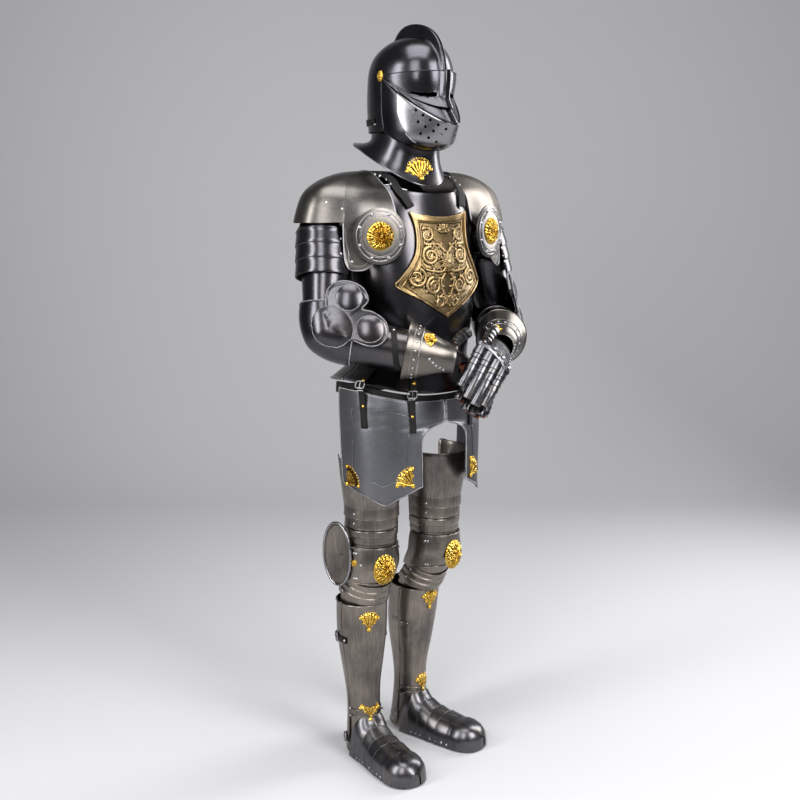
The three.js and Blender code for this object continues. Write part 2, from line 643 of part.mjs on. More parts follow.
function pauldronLames(joints, upper, outTurn) {
  const section = table('along half front back', [[0, 62, 56, 66], [40, 78, 68, 80], [80, 78, 71, 80], [150, 75, 72, 79]]);
  const turns = steps(9, outTurn - 78, outTurn + 100);
  const grid = sheet(turns, stepped(4, 148, 4), (turn, row) => (
    limbPoint(upper, section, row.along, turn, row.step * 2.2 - 3.92)));
  return wall(grid, WALL, { inside: upper.a.clone().addScaledVector(upper.axis, 75).toArray() });
}

// Couter: an elbow-shaped cup bent from the upper arm into the forearm, with a wing of two lobes on
// the outer side. The wing's outline is measured from the elbow, up the arm and along the forearm.
const WING_MIDDLE = { up: 42, fore: 60, out: 61.5, dome: 5 };
const COUTER_WING = table('up fore', [
  [38, 12], [70, 4], [100, 10], [120, 32], [126, 62], [116, 92], [90, 105], [66, 91],
  [63, 118], [48, 146], [22, 154], [-6, 140], [-18, 112], [-12, 76], [2, 46], [18, 24],
]);
function couter(joints) {
  const shoulder = point(...joints.shoulder);
  const elbow = point(...joints.elbow);
  const wrist = point(...joints.wrist);
  const up = shoulder.clone().sub(elbow).normalize();
  const fore = wrist.clone().sub(elbow).normalize();
  const hinge = up.clone().cross(fore).normalize();
  const path = steps(8, -1, 1).map((t) => {
    const a = Math.max(0, -t);
    const b = Math.max(0, t);
    const direction = fore.clone().multiplyScalar(1 + t).addScaledVector(up, -(1 - t)).normalize();
    const bend = 1 - Math.abs(t);
    const place = elbow.clone().addScaledVector(up, a * 72).addScaledVector(fore, b * 72)
      .addScaledVector(up.clone().add(fore), bend * bend * 14);
    return { t, place, direction };
  });
  const turns = steps(8, -112, 112);
  const grid = sheet(turns, path, (turn, p) => {
    const out = p.direction.clone().cross(hinge).normalize();
    if (out.dot(up.clone().add(fore)) > 0) {
      out.negate();
    }
    const a = radians(turn);
    const swell = 62 + 6 * (1 - p.t * p.t);
    return p.place.clone().addScaledVector(out, swell * Math.cos(a)).addScaledVector(hinge, (swell - 3) * Math.sin(a));
  });
  const inside = elbow.clone().addScaledVector(up, 20).addScaledVector(fore, 20).toArray();
  const outward = hinge.clone().multiplyScalar(Math.sign(hinge.x * joints.side));
  const wing = sheet(COUTER_WING, steps(2, 0, 1), (corner, share) => elbow.clone()
    .addScaledVector(up, mix(WING_MIDDLE.up, corner.up, share))
    .addScaledVector(fore, mix(WING_MIDDLE.fore, corner.fore, share))
    .addScaledVector(outward, WING_MIDDLE.out + WING_MIDDLE.dome * (1 - share * share)), true);
  return joined(wall(grid, WALL, { inside }), wall(wing, WALL, { inside, lift: (i, j) => (j === 2 ? 2 : 0) }));
}

// Gauntlet cuff: flares back from the wrist over the end of the forearm plate.
const CUFF = table('along half front back', [
  [196, 71, 55, 71], [225, 63, 51, 63], [255, 51, 44, 51], [290, 38, 34, 38], [322, 33, 30, 33],
]);

function forearmTube(bone, rows, alongs, options = {}) {
  const scale = bone.length / FOREARM_LENGTH;
  return tube(bone, stretched(rows, bone.length), alongs.map((along) => along * scale), { count: 16, ...options });
}

function cuff(bone) {
  return forearmTube(bone, CUFF, [198, 205, 245, 285, 318], { lift: (i, j) => (j === 0 ? 2.5 : 0) });
}

// Gauntlet hand: a plate over the back, a ridge on the knuckles and four bent fingers.
const FINGERS = table('across length radius', [[-38, 104, 12.5], [-13, 118, 13], [12, 116, 13], [36, 96, 12]]);
const HAND = { arch: 10, halfWrist: 31.6, halfKnuckle: 50, ridge: 8, fingerWall: 1.5, rows: 5 };

function handFrame(joints) {
  const wrist = point(...joints.wrist);
  const forward = point(...joints.knuckle).sub(wrist);
  const length = forward.length();
  forward.normalize();
  const spread = point(...joints.spread);
  spread.addScaledVector(forward, -spread.dot(forward)).normalize();
  const back = spread.clone().cross(forward);
  if (back.z < 0) {
    back.negate();
  }
  return { wrist, forward, length, spread, back };
}

const archHeight = (u) => HAND.arch * (1 - u * u);

// A half tube of plates that starts along one direction and bends into another.
function finger(frame, start, [first, last], { length, radius }) {
  const place = start.clone();
  const path = steps(HAND.rows).map((t, i) => {
    const along = point(...first).normalize().lerp(point(...last).normalize(), t).normalize();
    const across = frame.spread.clone().addScaledVector(along, -frame.spread.dot(along)).normalize();
    const up = across.clone().cross(along);
    if (up.dot(frame.back) < 0) {
      up.negate();
    }
    if (i > 0) {
      place.addScaledVector(along, length / HAND.rows);
    }
    return { place: place.clone(), up, across, size: radius * (1 - 0.22 * t) };
  });
  const grid = sheet([-95, -42, 42, 95], path, (turn, p) => p.place.clone()
    .addScaledVector(p.across, p.size * Math.sin(radians(turn)))
    .addScaledVector(p.up, p.size * Math.cos(radians(turn))));
  const middle = path[2];
  const inside = middle.place.clone().addScaledVector(middle.up, -radius);
  return wall(grid, HAND.fingerWall, { inside: inside.toArray() });
}

function hand(joints) {
  const frame = handFrame(joints);
  const { wrist, forward, length, spread, back } = frame;
  const onBack = (u, along, rise = 0) => wrist.clone().addScaledVector(forward, along)
    .addScaledVector(spread, u * mix(HAND.halfWrist, HAND.halfKnuckle, along / length))
    .addScaledVector(back, 6 + archHeight(u) + rise);
  const under = { inside: wrist.clone().addScaledVector(back, -60).toArray() };
  const plate = wall(sheet(steps(4, -1, 1), [joints.handStart, length], (u, along) => onBack(u, along)), WALL, under);
  const ridge = wall(sheet(steps(4, -1, 1), [-90, 0, 90], (u, turn) => {
    const a = radians(turn);
    return onBack(u, length + HAND.ridge * Math.sin(a), HAND.ridge * Math.cos(a) - 3);
  }), 4, under);
  const fingers = FINGERS.map((row) => {
    const start = onBack(row.across / HAND.halfKnuckle, length, -row.radius);
    return finger(frame, start, joints.fingers, row);
  });
  return joined(plate, ridge, ...fingers);
}

function thumb(joints) {
  const [start, first, last] = joints.thumb;
  return finger(handFrame(joints), point(...start), [first, last], { length: 52, radius: 12 });
}

// Legs
const THIGH = table('along half front back', [
  [0, 90, 86, 88], [80, 82, 80, 82], [170, 69, 68, 72], [240, 63, 62, 64], [315, 58, 60, 56],
]);
const SHIN = table('along half front back', [
  [40, 62, 64, 58], [80, 61, 62, 60], [120, 60, 60, 64],
]);
// The greave starts at the calf: its front runs straight down and its back swells, then closes
// to the ankle and opens again over the heel.
const GREAVE = table('along half front back', [
  [0, 66, 66, 68], [70, 65, 62, 72], [140, 58, 56, 68], [210, 49, 49, 53], [270, 43, 45, 42], [310, 42, 52, 38],
  [350, 44, 60, 40], [418, 44, 60, 46],
]);

const REAR_SEAM = 0.6;     // degrees left open between the two halves of a greave

function leg(name, joints) {
  const { side } = joints;
  const knee = point(...joints.knee);
  const toward = point(joints.toe[0] - joints.ankle[0], joints.toe[1] - joints.ankle[1], 0).normalize();
  const thigh = limb(joints.hip, joints.knee, [side * 0.15, -1, 0]);
  const shin = limb(joints.knee, joints.calf, toward.toArray());
  const calf = limb(joints.calf, joints.ankle, toward.toArray());
  const outTurn = thigh.s.x * side > 0 ? 90 : -90;

  add(`${name}_cuisse`, tube(thigh, THIGH, [40, 85, 130, 175, 226], {
    from: -125, to: 125, count: 14,
  }), 'grey');
  add(`${name}_knee_lames`, lames(thigh, THIGH, stepped(222, 274, 3), 118, [4.6, 2.6]), 'grey');
  add(`${name}_poleyn`, poleyn(joints, thigh, shin, outTurn), 'grey');
  const front = knee.clone().addScaledVector(thigh.f, 74.5).add(point(0, 0, -6));
  add(`${name}_knee_boss`, disc(front.toArray(), thigh.f.toArray(), {
    across: 33, up: 40, depth: THIN, dome: 16, rings: 2, sides: 16,
  }), 'brass');
  add(`${name}_shin_lames`, lames(shin, SHIN, stepped(joints.lameEnd, 46, 3), 112, [5.6, 0.6]), 'grey');
  const greave = { count: 8, lift: (i, j) => (j === 0 ? 2.5 : 0) };
  add(`${name}_greave`, tube(calf, GREAVE, [0, 5, 60, 120, 180, 240, joints.greaveEnd], {
    ...greave, from: -90 + REAR_SEAM, to: 90 - REAR_SEAM,
  }), 'grey');
  add(`${name}_greave_back`, tube(calf, GREAVE, [0, 5, 70, 140, 210, 280, 350, 414], {
    ...greave, from: 90 + REAR_SEAM, to: 270 - REAR_SEAM,
  }), 'grey');
  add(`${name}_sabaton`, sabaton(joints), 'grey');
}

// Rings of lames round a limb, standing off it by one amount at the start and another at the end.
function lames(bone, section, rows, spread, [liftStart, liftEnd]) {
  const [start, end] = [rows[0].along, rows[rows.length - 1].along];
  const grid = sheet(steps(8, -spread, spread), rows, (turn, row) => {
    const stand = mix(liftStart, liftEnd, (row.along - start) / (end - start));
    return limbPoint(bone, section, row.along, turn, stand + row.step * 1.8);
  });
  const middle = bone.a.clone().addScaledVector(bone.axis, rows[2].along);
  return wall(grid, WALL, { inside: middle.toArray() });
}

// Poleyn: a rounded cup over the knee with a large oval wing at its outer side.
const POLEYN = table('along reach', [[-50, 69], [-30, 72], [0, 74], [28, 72], [50, 68]]);

function poleyn(joints, thigh, shin, outTurn) {
  const knee = point(...joints.knee);
  const cup = sheet(steps(10, -112, 112), [-50, -26, 0, 26, 50], (turn, along) => {
    const { reach } = at(POLEYN, along);
    const a = radians(turn);
    const bone = along < 0 ? thigh : shin;
    return knee.clone().addScaledVector(bone.axis, along)
      .addScaledVector(thigh.f, (reach + 2) * Math.cos(a))
      .addScaledVector(thigh.s, reach * Math.sin(a));
  });
  const shell = wall(cup, WALL, { inside: knee.toArray() });
  const out = thigh.s.clone().multiplyScalar(Math.sign(outTurn));
  const normal = out.clone().addScaledVector(thigh.f, 0.35);
  const centre = knee.clone().addScaledVector(out, 86).addScaledVector(thigh.f, -20).add(point(0, 0, 22));
  const wing = disc(centre.toArray(), normal.toArray(), {
    across: 48, up: 84, depth: WALL, dome: -5, rings: 2, sides: 14, rim: 2.5,
  });
  const seat = knee.clone().addScaledVector(out, 80).addScaledVector(thigh.f, -8);
  const arm = disc(seat.toArray(), normal.toArray(), { across: 26, up: 24, depth: 11, rings: 1, sides: 8 });
  return joined(shell, wing, arm);
}

// Sabaton: sections along the foot from the ankle to the toe cap, open below at the sole.
const FOOT = table('along half top', [
  [-18, 50, 122], [10, 50, 124], [34, 50, 120], [60, 49, 100], [95, 51, 82], [130, 54, 73],
  [170, 55, 70], [205, 53, 67], [228, 45, 60], [242, 33, 50], [250, 19, 41], [254, 0, 34],
]);

function sabaton(joints) {
  const ankle = point(joints.ankle[0], joints.ankle[1], 0);
  const ahead = point(joints.toe[0], joints.toe[1], 0).sub(ankle).normalize();
  const across = point(-ahead.y, ahead.x, 0);
  const alongs = [8, 34, 60, 95, 130, 165, 200, 228, 242, 250, 254];
  const grid = sheet(steps(10, -90, 90), alongs, (turn, along) => {
    const row = at(FOOT, along);
    const a = radians(turn);
    const lean = along < 60 ? (60 - along) * 0.45 * Math.max(0, Math.cos(a)) : 0;
    return ankle.clone().addScaledVector(ahead, along + lean)
      .addScaledVector(across, row.half * power(Math.sin(a), 0.8))
      .add(point(0, 0, 3 + (row.top - 3) * Math.max(0, Math.cos(a)) ** 0.7));
  });
  return wall(grid, WALL, { inside: ankle.clone().addScaledVector(ahead, 150).toArray() });
}

add('skull', skull(), 'black');
add('visor', visor(), 'black');
add('bevor', bevor(), 'black');
add('gorget', gorget(), 'black');
add('gorget_fan', gorgetFan(), 'brass');
add('nape_strap', napeStrap(), 'leather');
add('breastplate', breastplate(), 'black');
add('backplate', backplate(), 'black');
add('chest_shield', chestShield(), 'bronze');
add('waist_belt', waistBelt(), 'leather');
for (const [name, joints] of Object.entries(JOINTS)) {
  const { side } = joints;
  add(`${name}_temple_rosette`, templeRosette(side), 'brass');
  add(`${name}_shoulder_strap`, shoulderStrap(side), 'leather');
  add(`${name}_tasset`, tasset(side), 'black');
  add(`${name}_tasset_strap_outer`, tassetStrap(side, 69), 'leather');
  add(`${name}_tasset_strap_inner`, tassetStrap(side, 25), 'leather');
  add(`${name}_tasset_fan_outer`, tassetFan(side, 'outer'), 'brass');
  add(`${name}_tasset_fan_inner`, tassetFan(side, 'inner'), 'brass');
  arm(name, joints);
  leg(name, joints);
}

suit.position.set(-CARRY_POINT[0], -CARRY_POINT[1], -CARRY_POINT[2]);
const model = new THREE.Group();
model.add(suit);

export default model;
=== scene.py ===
# %% [markdown]
# # A suit of plate armour in Blender
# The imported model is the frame: every plate, strap and fitting of the suit is already in its place.
# This lesson turns its coarse plates into smooth metal, adds the rivets, beads, buckles and reliefs
# that an armourer would fit by hand, and paints everything with procedural metals and leather.

# %% Load the frame
import bpy
import bmesh
import json
import math
import numpy as np
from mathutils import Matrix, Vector
from mathutils.bvhtree import BVHTree

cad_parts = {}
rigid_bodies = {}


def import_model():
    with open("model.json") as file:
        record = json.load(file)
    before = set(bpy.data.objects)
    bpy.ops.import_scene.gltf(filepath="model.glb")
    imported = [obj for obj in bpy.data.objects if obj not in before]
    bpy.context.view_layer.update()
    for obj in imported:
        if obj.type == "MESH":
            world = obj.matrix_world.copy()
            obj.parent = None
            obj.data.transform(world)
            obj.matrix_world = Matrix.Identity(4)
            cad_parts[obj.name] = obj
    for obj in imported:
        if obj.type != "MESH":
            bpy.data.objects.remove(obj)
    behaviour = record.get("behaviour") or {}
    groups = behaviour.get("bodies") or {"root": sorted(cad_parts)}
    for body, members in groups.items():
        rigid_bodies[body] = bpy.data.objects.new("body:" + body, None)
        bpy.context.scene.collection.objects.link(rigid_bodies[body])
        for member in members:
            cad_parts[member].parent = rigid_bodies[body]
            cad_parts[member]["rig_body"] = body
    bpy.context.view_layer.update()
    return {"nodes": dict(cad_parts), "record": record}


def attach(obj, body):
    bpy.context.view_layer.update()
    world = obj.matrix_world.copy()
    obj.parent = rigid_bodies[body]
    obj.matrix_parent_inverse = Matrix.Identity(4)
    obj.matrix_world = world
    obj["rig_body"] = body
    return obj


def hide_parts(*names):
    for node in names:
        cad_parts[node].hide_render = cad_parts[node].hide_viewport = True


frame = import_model()
MM = 0.001
UP = Vector((0, 0, 1))
CARRY_POINT = Vector((0, 5, 1432))
FLOOR_Z = -CARRY_POINT.z * MM

# %% [markdown]
# ## Colours and nodes
# Colours are picked as screen values, so one function turns them to the linear numbers that the
# renderer counts in. One other function adds a node with its settings and links.


# %% Helpers for materials
def linear(hex_colour):
    values = [int(hex_colour[i:i + 2], 16) / 255 for i in (1, 3, 5)]
    return [v / 12.92 if v <= 0.04045 else ((v + 0.055) / 1.055) ** 2.4 for v in values] + [1.0]


def add_node(tree, kind, inputs=None, **settings):
    node = tree.nodes.new(kind)
    for name, value in settings.items():
        setattr(node, name, value)
    for name, value in (inputs or {}).items():
        if isinstance(value, bpy.types.NodeSocket):
            tree.links.new(value, node.inputs[name])
        else:
            node.inputs[name].default_value = value
    return node


def colour_ramp(tree, factor, stops):
    node = add_node(tree, "ShaderNodeValToRGB", {"Fac": factor})
    while len(node.color_ramp.elements) < len(stops):
        node.color_ramp.elements.new(0.5)
    for element, (place, colour) in zip(node.color_ramp.elements, stops):
        element.position = place
        element.color = linear(colour)
    return node.outputs["Color"]


def grey_range(tree, value, low, high):
    node = add_node(tree, "ShaderNodeMapRange", {"Value": value, "To Min": low, "To Max": high})
    return node.outputs["Result"]


def noise(tree, place, scale, detail, rough, stretch=(1, 1, 1)):
    spread = add_node(tree, "ShaderNodeMapping", {"Vector": place, "Scale": stretch})
    node = add_node(tree, "ShaderNodeTexNoise", {
        "Vector": spread.outputs["Vector"], "Scale": scale, "Detail": detail, "Roughness": rough,
    })
    return node.outputs["Fac"]


# %% [markdown]
# ## Metals
# The helmet, torso and arms are steel that was blackened in oil and polished again, so it mirrors the
# room darkly, with a faint brown cast where the oil burnt off. The legs are the same steel brushed
# down to a warm grey, with streaks that run with the limb. Brass is cast and polished, the shield is
# bronze with dark patina in its hollows. All share one recipe: large soft clouds for colour, stretched
# noise for the strokes of the polishing wheel, and a shallow unevenness left by the hammer.


# %% Metal recipe
STROKE_GRAIN = 260.0         # scale of the polishing strokes
HAMMER_GRAIN = 26.0          # scale of the hammer's unevenness
STROKE_SHARE = 0.35          # how much the strokes count beside the clouds
STROKE_MEAN = 0.17           # taken off again, so that the middle shade stays in the middle
HIGHLIGHT_BLEND = 0.4            # mm to both sides over which the painted highlight field fades
PATINA_RANGE = (0.47, 0.53)  # pointiness from a hollow to a ridge
HIDE_GLOSS = 0.28            # leather reflects less than metal or lacquer


def metal(name, stops, rough, clouds, strokes=(1, 1, 1), hammer=0.0, stroke_depth=0.05, patina=None,
          field=None):
    material = bpy.data.materials.new(name)
    material.use_nodes = True
    tree = material.node_tree
    shader = tree.nodes["Principled BSDF"]
    place = add_node(tree, "ShaderNodeTexCoord").outputs["Object"]
    cloud = noise(tree, place, clouds, 5.0, 0.6)
    stroke = noise(tree, place, STROKE_GRAIN, 3.0, 0.5, strokes)
    mixed = add_node(tree, "ShaderNodeMath", {0: stroke, 1: STROKE_SHARE, 2: cloud}, operation="MULTIPLY_ADD")
    shade = add_node(tree, "ShaderNodeMath", {0: mixed.outputs["Value"], 1: STROKE_MEAN}, operation="SUBTRACT")
    colour = colour_ramp(tree, shade.outputs["Value"], stops)
    # A second colour ramp paints a pale highlight in, where a point attribute marks it.
    if field:
        reach = add_node(tree, "ShaderNodeAttribute", attribute_name="field").outputs["Fac"]
        mask = add_node(tree, "ShaderNodeMapRange", {
            "Value": reach, "From Min": -HIGHLIGHT_BLEND, "From Max": HIGHLIGHT_BLEND,
        })
        both = add_node(tree, "ShaderNodeMix", {
            "Factor": mask.outputs["Result"], 6: colour, 7: colour_ramp(tree, shade.outputs["Value"], field),
        }, data_type="RGBA")
        colour = both.outputs[2]
    if patina:
        hollow = add_node(tree, "ShaderNodeNewGeometry").outputs["Pointiness"]
        wear = add_node(tree, "ShaderNodeMapRange", {
            "Value": hollow, "From Min": PATINA_RANGE[0], "From Max": PATINA_RANGE[1],
        })
        blend = add_node(tree, "ShaderNodeMix", {
            "Factor": wear.outputs["Result"], 6: linear(patina), 7: colour,
        }, data_type="RGBA")
        colour = blend.outputs[2]
    tree.links.new(colour, shader.inputs["Base Color"])
    shader.inputs["Metallic"].default_value = 1.0
    tree.links.new(grey_range(tree, mixed.outputs["Value"], *rough), shader.inputs["Roughness"])
    fine = add_node(tree, "ShaderNodeBump", {"Height": stroke, "Strength": stroke_depth, "Distance": 0.0004})
    beaten = noise(tree, place, HAMMER_GRAIN, 1.0, 0.4)
    bump = add_node(tree, "ShaderNodeBump", {
        "Height": beaten, "Strength": hammer, "Distance": 0.004, "Normal": fine.outputs["Normal"],
    })
    tree.links.new(bump.outputs["Normal"], shader.inputs["Normal"])
    return material


def hide_material(name, dark, light, grain, rough):
    material = bpy.data.materials.new(name)
    material.use_nodes = True
    tree = material.node_tree
    shader = tree.nodes["Principled BSDF"]
    place = add_node(tree, "ShaderNodeTexCoord").outputs["Object"]
    cloud = noise(tree, place, 30.0, 5.0, 0.6)
    cells = add_node(tree, "ShaderNodeTexVoronoi", {"Vector": place, "Scale": grain}, feature="DISTANCE_TO_EDGE")
    colour = colour_ramp(tree, cloud, [(0.3, dark), (0.75, light)])
    tree.links.new(colour, shader.inputs["Base Color"])
    tree.links.new(grey_range(tree, cloud, *rough), shader.inputs["Roughness"])
    shader.inputs["Specular IOR Level"].default_value = HIDE_GLOSS
    bump = add_node(tree, "ShaderNodeBump", {
        "Height": cells.outputs["Distance"], "Strength": 0.5, "Distance": 0.0008,
    })
    tree.links.new(bump.outputs["Normal"], shader.inputs["Normal"])
    return material


# Blackened polished steel: a dark mirror that shows the lights as soft pale bands.
BLACK_STEEL = metal("blackened_polished_steel", [(0.2, "#39393d"), (0.5, "#4c4b4f"), (0.85, "#675f5a")],
                    (0.17, 0.28), clouds=4.0, strokes=(0.5, 0.5, 1.0), hammer=0.03, stroke_depth=0.006)
# The skirt plates are scoured to a soft grey satin.
SATIN_STEEL = metal("scoured_satin_steel", [(0.2, "#58595d"), (0.5, "#6c6d71"), (0.85, "#7f7e7f")],
                    (0.30, 0.44), clouds=4.0, strokes=(0.3, 0.3, 1.0), hammer=0.04, stroke_depth=0.02)
# The lower face plate: the same black steel, a little darker, with a pale field round its breaths that is a
# painted highlight.
FACE_STEEL = metal("black_steel_with_bright_field", [(0.2, "#2f2f33"), (0.5, "#3f3e42"), (0.85, "#57504c")],
                   (0.17, 0.32), clouds=5.0, hammer=0.04, stroke_depth=0.02,
                   field=[(0.2, "#747477"), (0.5, "#8c8b8d"), (0.85, "#a19d99")])
# Satin steel on the armpit discs, cuffs and shoulder plates: half bright, scoured after polishing; on the cuffs
# and shoulder plates its lighter colour is a painted highlight.
SATIN_AND_HIGHLIGHT_STEEL = metal("satin_polished_steel", [(0.2, "#4e4d4f"), (0.5, "#68645f"), (0.85, "#83786e")],
                     (0.22, 0.38), clouds=6.0, strokes=(0.3, 0.3, 1.0), hammer=0.05, stroke_depth=0.03)
# Rims, roped borders and buckles: pale steel that paints in the highlight that rolled edges catch.
RIM_HIGHLIGHT_STEEL = metal("bright_filed_rim", [(0.2, "#77767a"), (0.5, "#929194"), (0.85, "#aaa6a2")],
                  (0.18, 0.34), clouds=40.0, stroke_depth=0.03)
# Rivet heads: small polished domes, each with one clear highlight.
RIVET_STEEL = metal("polished_rivet_steel", [(0.2, "#8a898c"), (0.5, "#a3a2a5"), (0.85, "#bab7b3")],
                    (0.16, 0.30), clouds=60.0, stroke_depth=0.02)
# Gauntlet steel: dark, with blue and straw heat colours left from hardening the small scales.
HAND_STEEL = metal("heat_tinted_gauntlet_steel", [(0.2, "#4a4b50"), (0.5, "#66666a"), (0.85, "#837b74")],
                   (0.18, 0.34), clouds=34.0, hammer=0.05, stroke_depth=0.03)
# Brushed leg steel: warm grey with browner heat patches, and strokes that run down the leg.
LEG_STEEL = metal("brushed_warm_steel",
                  [(0.15, "#444242"), (0.42, "#6b6560"), (0.62, "#8d857c"), (0.9, "#7d664f")],
                  (0.22, 0.40), clouds=5.5, strokes=(1.0, 1.0, 0.04), hammer=0.08, stroke_depth=0.10)
# Shoe steel: darker and smoother than the legs, burnished by wear.
SHOE_STEEL = metal("burnished_shoe_steel", [(0.2, "#46474a"), (0.5, "#5e5d60"), (0.85, "#79716a")],
                   (0.19, 0.34), clouds=14.0, strokes=(1.0, 0.2, 0.2), hammer=0.07, stroke_depth=0.03)
# Polished cast brass: strong yellow with darker hollows.
BRASS = metal("polished_cast_brass", [(0.2, "#b98a2c"), (0.5, "#e0b44a"), (0.8, "#f4d27a")],
              (0.14, 0.30), clouds=60.0, patina="#3a2608")
# Antique bronze of the chest shield: brown gold, dull in the hollows and rubbed bright on top.
BRONZE = metal("antique_bronze", [(0.2, "#8a7148"), (0.5, "#b1966a"), (0.8, "#d3bb92")],
               (0.24, 0.44), clouds=20.0, hammer=0.03, patina="#15100a")
# Strap leather: black, oiled, with a fine pebbled grain.
STRAP_LEATHER = hide_material("black_strap_leather", "#060505", "#141110", 700.0, (0.5, 0.7))
# Glove leather: reddish brown and soft, it shows between the plates of the hands.
GLOVE_LEATHER = hide_material("russet_glove_leather", "#5a2c1c", "#8f4e33", 420.0, (0.5, 0.75))
SLOT_METALS = {"black_steel": BLACK_STEEL, "grey_steel": LEG_STEEL, "brass": BRASS, "bronze": BRONZE,
               "leather": STRAP_LEATHER}
print("materials", len(bpy.data.materials))

# %% [markdown]
# ## Smooth plates
# A plate is beaten over a stake until it is evenly round. The frame holds each plate as a net of flat
# facets whose corners lie on that round form. A Subdivision Surface would pull the net inwards, so the
# corners are first pushed out until the smooth surface runs through the places where they were. Edges
# sharper than a plate's own limit are creased, which keeps rims, ledges and lames crisp.

# %% Smooth every plate
SHARP_DEGREES = {"visor": 24, "bevor": 34, "hand": 75, "thumb": 75, "skull": 42, "chest_shield": 30}
SHARP_USUAL = 44
# Shoulder plates and cuffs take the lighter satin steel as a painted highlight; the armpit discs take it as their
# own finish.
NODE_METALS = {"tasset": SATIN_STEEL, "pauldron": SATIN_AND_HIGHLIGHT_STEEL, "besagew": SATIN_AND_HIGHLIGHT_STEEL, "cuff": SATIN_AND_HIGHLIGHT_STEEL,
               "hand": HAND_STEEL, "thumb": HAND_STEEL, "sabaton": SHOE_STEEL}
CAST_NODES = ("temple_rosette", "knee_boss", "besagew_boss", "gorget_fan", "tasset_fan_outer", "tasset_fan_inner")
SMOOTH_LEVELS = 2
STEADY_ROUNDS = 3    # rounds that push the corners out until the smooth surface meets them
CREASE_WEIGHT = 0.92
PLATE_SHARP = 38     # degrees from which the shading of a plate breaks
FITTING_SHARP = 48   # the same for small fittings
WELD = 0.00002


def short_name(node):
    return node.replace("right_", "").replace("left_", "")


def evaluated_places(obj, count):
    mesh = obj.evaluated_get(bpy.context.evaluated_depsgraph_get()).data
    places = np.empty(len(mesh.vertices) * 3)
    mesh.vertices.foreach_get("co", places)
    return places.reshape(-1, 3)[:count]


def finished(obj, name, material):
    """A plain mesh of what obj shows, as a new piece, without its modifiers."""
    graph = bpy.context.evaluated_depsgraph_get()
    mesh = bpy.data.meshes.new_from_object(obj.evaluated_get(graph), depsgraph=graph)
    mesh.name = name
    mesh.materials.clear()
    mesh.materials.append(material)
    piece = bpy.data.objects.new(name, mesh)
    bpy.context.scene.collection.objects.link(piece)
    bpy.data.objects.remove(obj)
    return piece


def facet_net(mesh):
    """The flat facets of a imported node, joined again from its triangles."""
    net = bmesh.new()
    net.from_mesh(mesh)
    bmesh.ops.remove_doubles(net, verts=net.verts, dist=WELD)
    bmesh.ops.join_triangles(net, faces=net.faces, angle_face_threshold=0.7, angle_shape_threshold=1.2)
    return net


def smooth_plate(node):
    mesh = frame["nodes"][node].data.copy()
    net = facet_net(mesh)
    limit = math.radians(SHARP_DEGREES.get(short_name(node), SHARP_USUAL))
    crease = net.edges.layers.float.new("crease_edge")
    for edge in net.edges:
        if edge.calc_face_angle(0) > limit:
            edge[crease] = CREASE_WEIGHT
    net.to_mesh(mesh)
    net.free()
    work = bpy.data.objects.new(node + "_net", mesh)
    bpy.context.scene.collection.objects.link(work)
    smooth = work.modifiers.new("smooth", "SUBSURF")
    smooth.levels = smooth.render_levels = 1
    wanted = np.empty(len(mesh.vertices) * 3)
    mesh.vertices.foreach_get("co", wanted)
    wanted = wanted.reshape(-1, 3)
    net_places = wanted.copy()
    for _ in range(STEADY_ROUNDS):
        net_places += wanted - evaluated_places(work, len(wanted))
        mesh.vertices.foreach_set("co", net_places.ravel())
        mesh.update()
    smooth.levels = smooth.render_levels = SMOOTH_LEVELS
    return work


plates = {}
for node, packed in frame["nodes"].items():
    if short_name(node) in CAST_NODES:
        continue
    body = packed["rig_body"]
    slot = next(s["material_slot"] for s in frame["record"]["subparts"] if s["node"] == node)
    material = NODE_METALS.get(short_name(node), SLOT_METALS[slot])
    plate = finished(smooth_plate(node), node + "_smooth", material)
    plate.data.shade_smooth()
    plate.data.set_sharp_from_angle(angle=math.radians(PLATE_SHARP))
    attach(plate, body)
    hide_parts(node)
    plates[node] = plate
print("plates", len(plates), "faces", sum(len(p.data.polygons) for p in plates.values()))

# %% [markdown]
# ## The ventilated face plate
# The lower face plate is one steel sheet, where rows of round breaths are punched through; a pale field round
# the breaths is a painted highlight. Here the breaths are really cut: short rods stand on the plate's own
# surface, at the places measured on one side and mirrored to the other, and a Boolean takes them out.

# %% Breaths and the painted highlight field
BREATHS = [(-66.5, -136.6, 246.5), (-56.6, -151.5, 234.5), (-45.6, -165.8, 222.7), (-31.7, -179.1, 211.7),
           (-16.2, -188.5, 201.9), (-62.8, -141.1, 219.1), (-51.2, -154.4, 207.9), (-37.2, -167.8, 197.6),
           (-22.0, -177.5, 188.4), (-56.9, -143.1, 191.7), (-42.4, -156.0, 182.1), (-24.7, -163.2, 173.3)]
BREATH_RADIUS = 3.6
PUNCH_LENGTH = 0.016
PUNCH_SIDES = 16
HIGHLIGHT_HALF, HIGHLIGHT_FRONT, HIGHLIGHT_FAR = 90, -92, 9.0    # mm: half width, foremost limit and capped distance of the painted highlight field
HIGHLIGHT_EDGE = [(-87.4, -98.7, 232), (-84.5, -102.8, 215), (-77.9, -109.8, 196.2), (-71.1, -116.7, 184.4),
              (-62.8, -121.8, 175.1), (-48.9, -131.3, 168.1), (-29.6, -138.3, 161.4), (-5.5, -140, 156.5)]
trees = {}


def tree_of(node):
    """A search tree of one finished plate."""
    if node not in trees:
        mesh = plates[node].data
        corners = [v.co[:] for v in mesh.vertices]
        trees[node] = BVHTree.FromPolygons(corners, [p.vertices[:] for p in mesh.polygons])
    return trees[node]


def on_plate(node, place, lift=0.0):
    """The nearest place on a plate (or on several), lifted off it, with the way it faces there."""
    hosts = (node,) if isinstance(node, str) else node
    found, facing, _, _ = min((tree_of(host).find_nearest(Vector(place)) for host in hosts), key=lambda r: r[3])
    return found + facing * lift * MM, facing


def spot(node, place_mm, lift=0.0):
    return on_plate(node, Vector(place_mm) * MM, lift)


def mirrored(places):
    return [(-x, y, z) for x, y, z in places]


